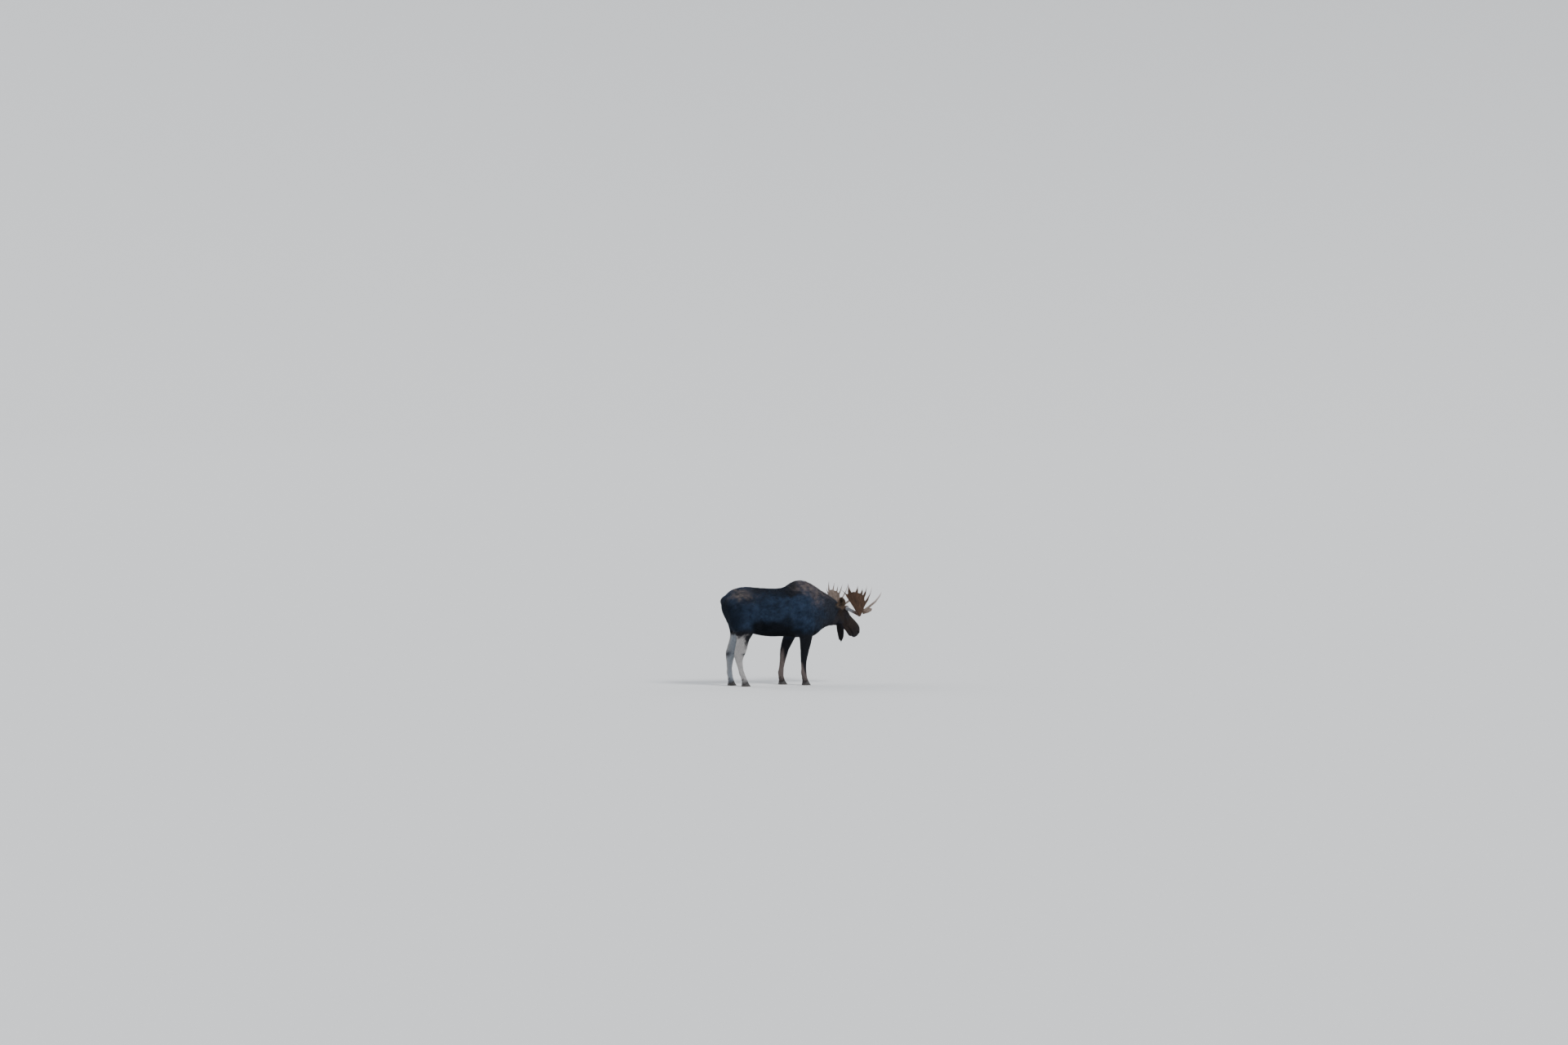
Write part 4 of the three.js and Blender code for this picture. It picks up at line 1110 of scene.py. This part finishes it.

# ---------------------------------------------------------------- the antlers
# Bare bone, stained brown by bark: a round beam with a pearled burr at its root, a cupped palm with
# grooves where its vessels ran, and tines and brow pieces rubbed pale at their tips. The cupped
# side and the brow are painted paler as if lit, the outer faces keep the darker brown, which also
# stands for their shade, and the beam, polished pale, carries a painted bluish sky light.

ANTLER_CELL = 0.0034
ANTLER_SMOOTHING = 0.0092
PALM_BASE = (0.256, 0.380, -0.016)  # in the head's frame: along u, outwards and w
PALM_UP = (-0.859, 0.003, 0.511)
PALM_FRONT = (0.486, 0.315, 0.815)
PALM_CUP = (0.35, -0.85, 0.40)
BURR = (0.118, 0.098, -0.010)
BEAM_WAY = (0.12, 0.98, -0.10)
PALM_HEIGHT = 0.39
BROW_LENGTH = 0.48
BARK_BROWN = (0.046, 0.0235, 0.0135)
# Painted light: the pale tan of the sides that face the sky
LIT_SIDE_TAN = (0.165, 0.128, 0.106)
RUBBED_TIP = (0.33, 0.285, 0.265)
RUBBED_RIM = (0.24, 0.205, 0.20)
# The beam, polished pale, with a painted bluish sky light on it
BEAM_POLISH_AND_SKY_LIGHT = (0.27, 0.275, 0.295)
BURR_DARK = (0.060, 0.040, 0.028)
GROOVES = [(0.021, 0.0008), (0.011, 0.0004)]  # on the beam and the brow: how far apart and how deep
GROOVE_WAVES = 7
FAN_GROOVES = [(0.085, 0.0011), (0.036, 0.0007), (0.016, 0.0003)]  # on the palm, in angle and depth
RELIEF_TINTED = 0.0014  # grooves this deep are darkest, and ridges this high palest
PEARLS = 21
PEARL_HEIGHT = 0.0035
BURR_REACH = 0.007

antler_material, antler_tree, antler_shader = marked(
    "antler", (55, 9), 0.72, 1.32, Roughness=0.55, Specular_IOR_Level=0.20,
)
bumped(antler_tree, antler_shader, noise(antler_tree, 240, 6), 0.55, 0.0013)


def grooves(places, way, apart, seed):
    """Waves across a way along the bone, which make uneven ridges and grooves that follow it."""
    draw = np.random.default_rng(seed)
    total = np.zeros(len(places))
    for _ in range(GROOVE_WAVES):
        wave = unit(np.cross(way, unit(draw.normal(size=3))) + 0.10 * draw.normal(size=3))
        phase = places @ wave * 2 * math.pi / apart * draw.uniform(0.7, 1.5)
        total += np.sin(phase + draw.uniform(0, WHOLE_WAVE))
    return 2 * total / GROOVE_WAVES


for side, word in SIDES.items():
    parts = [f"antler_{word}_{part}" for part in ("beam", "palm", "brow")]
    antler = remeshed(f"bone_{word}", parts, ANTLER_CELL)
    bone = points_of(antler.data)
    bone_net = Net(antler.data)
    part_of = nearest_node(bone, parts)
    is_beam, is_palm, is_brow = (bone_net.spread((part_of == k).astype(float), 8) for k in range(3))
    bone = bone_net.smoothed(bone, ANTLER_SMOOTHING, ANTLER_CELL)
    set_points(antler.data, bone)
    facing = points_of(antler.data, "normal")

    palm_base, burr = poll + head_way(PALM_BASE, side), poll + head_way(BURR, side)
    up_palm, front_palm, cup_way, beam_way = (
        unit(head_way(way, side)) for way in (PALM_UP, PALM_FRONT, PALM_CUP, BEAM_WAY)
    )
    through_palm = np.cross(up_palm, front_palm)
    brow_way = unit(bone[part_of == 2].mean(0) - palm_base)
    from_base = np.linalg.norm(bone - palm_base, axis=1)
    up_bone = (bone - palm_base) @ up_palm
    lift = np.zeros(len(bone))
    for k, (apart, deep) in enumerate(GROOVES):
        for share, way in ((is_beam, beam_way), (is_brow, brow_way)):
            lift += share * deep * grooves(bone, way, apart, 50 + 3 * k)
    # The palm's grooves fan out from its root towards the tines.
    sideways = (bone - palm_base) @ front_palm
    turned = np.arctan2(sideways, up_bone + 0.14)
    fan = np.stack([turned, 0.22 * up_bone, 1.5 * ((bone - palm_base) @ through_palm)], 1)
    ridges = sum(deep * mottle(fan, apart, 80 + k) for k, (apart, deep) in enumerate(FAN_GROOVES))
    lift += is_palm * ridges * ramp(up_bone, 0.0, 0.08)
    off_burr = bone - burr
    past_burr = off_burr @ beam_way
    level = unit(np.cross(beam_way, (0, 0, 1)))
    angle = np.arctan2(off_burr @ np.cross(beam_way, level), off_burr @ level)
    on_burr = ramp(np.linalg.norm(off_burr, axis=1), 0.07, 0.05)
    on_burr *= is_beam * bell_curve(past_burr, BURR_REACH)
    lift += on_burr * (0.002 + PEARL_HEIGHT * np.abs(np.sin(PEARLS / 2 * angle)))
    tip = 0.75 * is_palm * ramp(up_bone, PALM_HEIGHT + 0.05, PALM_HEIGHT + 0.20)
    tip += is_brow * ramp(from_base, 0.30, BROW_LENGTH)
    tip += is_palm * ramp(sideways, 0.17, 0.33)
    set_points(antler.data, bone + facing * (lift * (1 - 0.8 * np.clip(tip, 0, 1)))[:, None])
    stain_and_painted_light = np.tile(BARK_BROWN, (len(bone), 1))
    stain_and_painted_light *= (1 + 0.22 * mottle(bone, 0.12, 60) + 0.16 * mottle(bone, 0.035, 62))[:, None]

    # Painted light: the cupped side is painted paler as if lit, the outer faces stay darker as if
    # shaded
    inner = ramp(facing @ cup_way, -0.1, 0.5) * (0.70 + 0.25 * mottle(bone, 0.07, 64))
    # The beam is polished pale near the burr and painted bluish as if lit by the sky
    polish_and_sky_light = ramp(past_burr + 0.03 * mottle(bone, 0.05, 61), 0.27, 0.12)
    polish_and_sky_light *= ramp(past_burr, 0.0, 0.03)
    for shade, amount in (
        (LIT_SIDE_TAN, inner * (is_palm + is_brow)),
        # painted light: the brow paler away from its root, as if lit
        (LIT_SIDE_TAN, 0.75 * is_brow * ramp(from_base, 0.05, 0.17)),
        (BEAM_POLISH_AND_SKY_LIGHT, 0.85 * polish_and_sky_light * ramp(bone_net.spread(is_beam, 150), 0.05, 0.6)),
        (RUBBED_TIP, tip),
        (RUBBED_RIM, 0.6 * is_palm * ramp(np.abs(facing @ through_palm), 0.80, 0.35)),
        (BURR_DARK, 0.8 * on_burr),
    ):
        stain_and_painted_light = blend(stain_and_painted_light, shade, np.clip(amount, 0, 1))
    in_relief = np.clip(lift / RELIEF_TINTED, -1, 1) * (1 - on_burr)
    stain_and_painted_light *= (1 + 0.30 * in_relief)[:, None]
    dress(antler.data, antler_material, stain_and_painted_light)
    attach(antler, "root")
    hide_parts(*parts)

# ---------------------------------------------------------------- the hooves
# Two long black hooves of horn on each foot and two dewclaws behind, ringed by growth and worn
# greyish where they meet the ground.

HOOF_CELL = 0.0032
HOOF_SMOOTHING = 0.0060
HOOF_TAPER = 0.25  # how much narrower each hoof is at its top
HOOF_TOP = 0.10
CROWN = (0.05, 0.09)  # the heights of the band whose middle each foot narrows towards
CLAW_SWELL = 0.001
CLAW_TAPER = 0.45  # how much narrower each dewclaw is at its tip
CLAW_SHIFT = 0.010
CLAW_BOTTOM = 0.096  # above this, all horn is dewclaw
CLAW_MARGIN = 0.012
HORN_BLACK = (0.016, 0.013, 0.012, 1)
WORN_GREY = (0.085, 0.076, 0.066, 1)
horn, horn_tree, horn_shader = principled("horn", Roughness=0.42, Specular_IOR_Level=0.5)
horn_place = add_node(horn_tree, "ShaderNodeTexCoord").outputs["Object"]
rings = add_node(
    horn_tree, "ShaderNodeTexWave", {"bands_direction": "Z"},
    Vector=horn_place, Scale=48, Distortion=2.5, Detail=2, Detail_Scale=4,
)
worn = add_node(
    horn_tree, "ShaderNodeMapRange", From_Min=0.002, From_Max=0.022, To_Min=1, To_Max=0,
    Value=add_node(horn_tree, "ShaderNodeSeparateXYZ", Vector=horn_place).outputs["Z"],
)
tone = add_node(
    horn_tree, "ShaderNodeMix", {"data_type": "RGBA"},
    Factor=worn.outputs["Result"], A=HORN_BLACK, B=WORN_GREY,
)
mottled_horn = shaded(horn_tree, tone.outputs["Result"], noise(horn_tree, 70, 5), 0.6, 1.5)
feed(horn_tree, horn_shader, Base_Color=mottled_horn)
bumped(horn_tree, horn_shader, rings.outputs["Fac"], 0.35, 0.0012)

for end in ("front", "hind"):
    for word in ("right", "left"):
        kinds = [(kind, which) for kind in ("hoof", "dewclaw") for which in ("inner", "outer")]
        parts = [f"{end}_{kind}_{word}_{which}" for kind, which in kinds]
        hooves = remeshed(f"{end}_hooves_{word}", parts, HOOF_CELL, in_one=False)
        hoof_net = Net(hooves.data)
        corners = points_of(hooves.data)
        on_claw = hoof_net.spread((corners[:, 2] > CLAW_BOTTOM).astype(float), 2)
        corners = hoof_net.smoothed(corners, HOOF_SMOOTHING, HOOF_CELL)
        in_crown = (corners[:, 2] > CROWN[0]) & (corners[:, 2] < CROWN[1])
        crown = corners[in_crown].mean(0)
        narrow = HOOF_TAPER * ramp(corners[:, 2], 0.0, HOOF_TOP) * (1 - on_claw)
        corners[:, :2] -= (corners - crown)[:, :2] * narrow[:, None]
        for claw in parts[2:]:
            low, high = (np.array(corner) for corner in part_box(claw))
            here = ((corners > low - CLAW_MARGIN) & (corners < high + CLAW_MARGIN)).all(1)
            here &= corners[:, 2] > CLAW_BOTTOM
            up_claw = ramp(corners[:, 2], low[2], high[2])
            claw_tip = corners[here & (up_claw < 0.3)].mean(0)
            claw_way = unit(corners[here & (up_claw > 0.7)].mean(0) - claw_tip)
            off_line = corners - claw_tip
            off_line -= (off_line @ claw_way)[:, None] * claw_way
            corners -= off_line * (here * CLAW_TAPER * (1 - up_claw))[:, None]
        corners += points_of(hooves.data, "normal") * (CLAW_SWELL * on_claw)[:, None]
        corners[:, 0] += CLAW_SHIFT * on_claw
        corners[:, 2] = np.maximum(corners[:, 2], 0)
        set_points(hooves.data, corners)
        dress(hooves.data, horn)
        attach(hooves, "root")
        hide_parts(*parts)

# ---------------------------------------------------------------- the stage
# A pale floor that rises into a pale wall all round with no edge between them, large soft lamps
# like a studio's, and the camera.

FLOOR_REACH = 118
WALL_ROUND = 34
WALL_BEND = math.radians(75)
STAGE_STEPS = 16
FLOOR_PALE = (0.66, 0.66, 0.655, 1)
SKY_PALE = (0.80, 0.86, 0.95, 1)
stage_profile = [(0.0, 0.0), (FLOOR_REACH, 0.0)]
for k in range(1, STAGE_STEPS + 1):
    bend = WALL_BEND * k / STAGE_STEPS
    outward, upward = math.sin(bend), 1 - math.cos(bend)
    stage_profile.append((FLOOR_REACH + WALL_ROUND * outward, WALL_ROUND * upward))
bm = bmesh.new()
line = [bm.verts.new((x, 0, z)) for x, z in stage_profile]
for one, two in zip(line, line[1:]):
    bm.edges.new((one, two))
bmesh.ops.spin(
    bm, geom=[*bm.verts, *bm.edges], axis=(0, 0, 1), cent=(0, 0, 0), steps=96, angle=2 * math.pi,
)
bmesh.ops.remove_doubles(bm, verts=bm.verts, dist=1e-3)
bmesh.ops.recalc_face_normals(bm, faces=bm.faces)
floor = new_object("floor", mesh_of(bm, "floor"))
floor_paint, _, _ = principled(
    "floor_paint", Roughness=0.8, Specular_IOR_Level=0.2, Base_Color=FLOOR_PALE,
)
dress(floor.data, floor_paint)

world = bpy.data.worlds.new("studio")
world.use_nodes = True
feed(world.node_tree, world.node_tree.nodes["Background"], Color=SKY_PALE, Strength=0.75)
bpy.context.scene.world = world


def face_from(obj, direction):
    """Turns a lamp or camera to look back from a direction."""
    obj.rotation_mode = "QUATERNION"
    obj.rotation_quaternion = Vector(direction).to_track_quat("Z", "Y")


def lamp(name, direction, strength, angle):
    """A very large soft lamp far away in a direction."""
    light = bpy.data.lights.new(name, "SUN")
    light.energy = strength
    light.angle = math.radians(angle)
    face_from(new_object(name, light), direction)


lamp("key_lamp", (0.55, -0.75, 1.0), 2.6, 18)
lamp("fill_lamp", (-0.9, 0.7, 0.9), 1.5, 45)
lamp("front_lamp", (1.0, 0.5, 0.5), 0.7, 45)

VIEW_AZIMUTH = math.radians(-15)
VIEW_ELEVATION = math.radians(3)
VIEW_DISTANCE = 102.2
VIEW_LENS = 135
AIM_ALONG = 0.284  # from the trunk's middle, across the view
AIM_HEIGHT = 2.84
camera = new_object("camera", bpy.data.cameras.new("camera"))
camera.data.lens = VIEW_LENS
camera.data.sensor_width = 36
camera.data.clip_end = 2000
level_back = Vector((math.sin(VIEW_AZIMUTH), -math.cos(VIEW_AZIMUTH), 0))
across_view = Vector((math.cos(VIEW_AZIMUTH), math.sin(VIEW_AZIMUTH), 0))
back = level_back * math.cos(VIEW_ELEVATION) + Vector((0, 0, math.sin(VIEW_ELEVATION)))
aim = Vector(trunk_middle) + across_view * AIM_ALONG + Vector((0, 0, AIM_HEIGHT))
camera.location = aim + back * VIEW_DISTANCE
face_from(camera, back)
bpy.context.scene.camera = camera
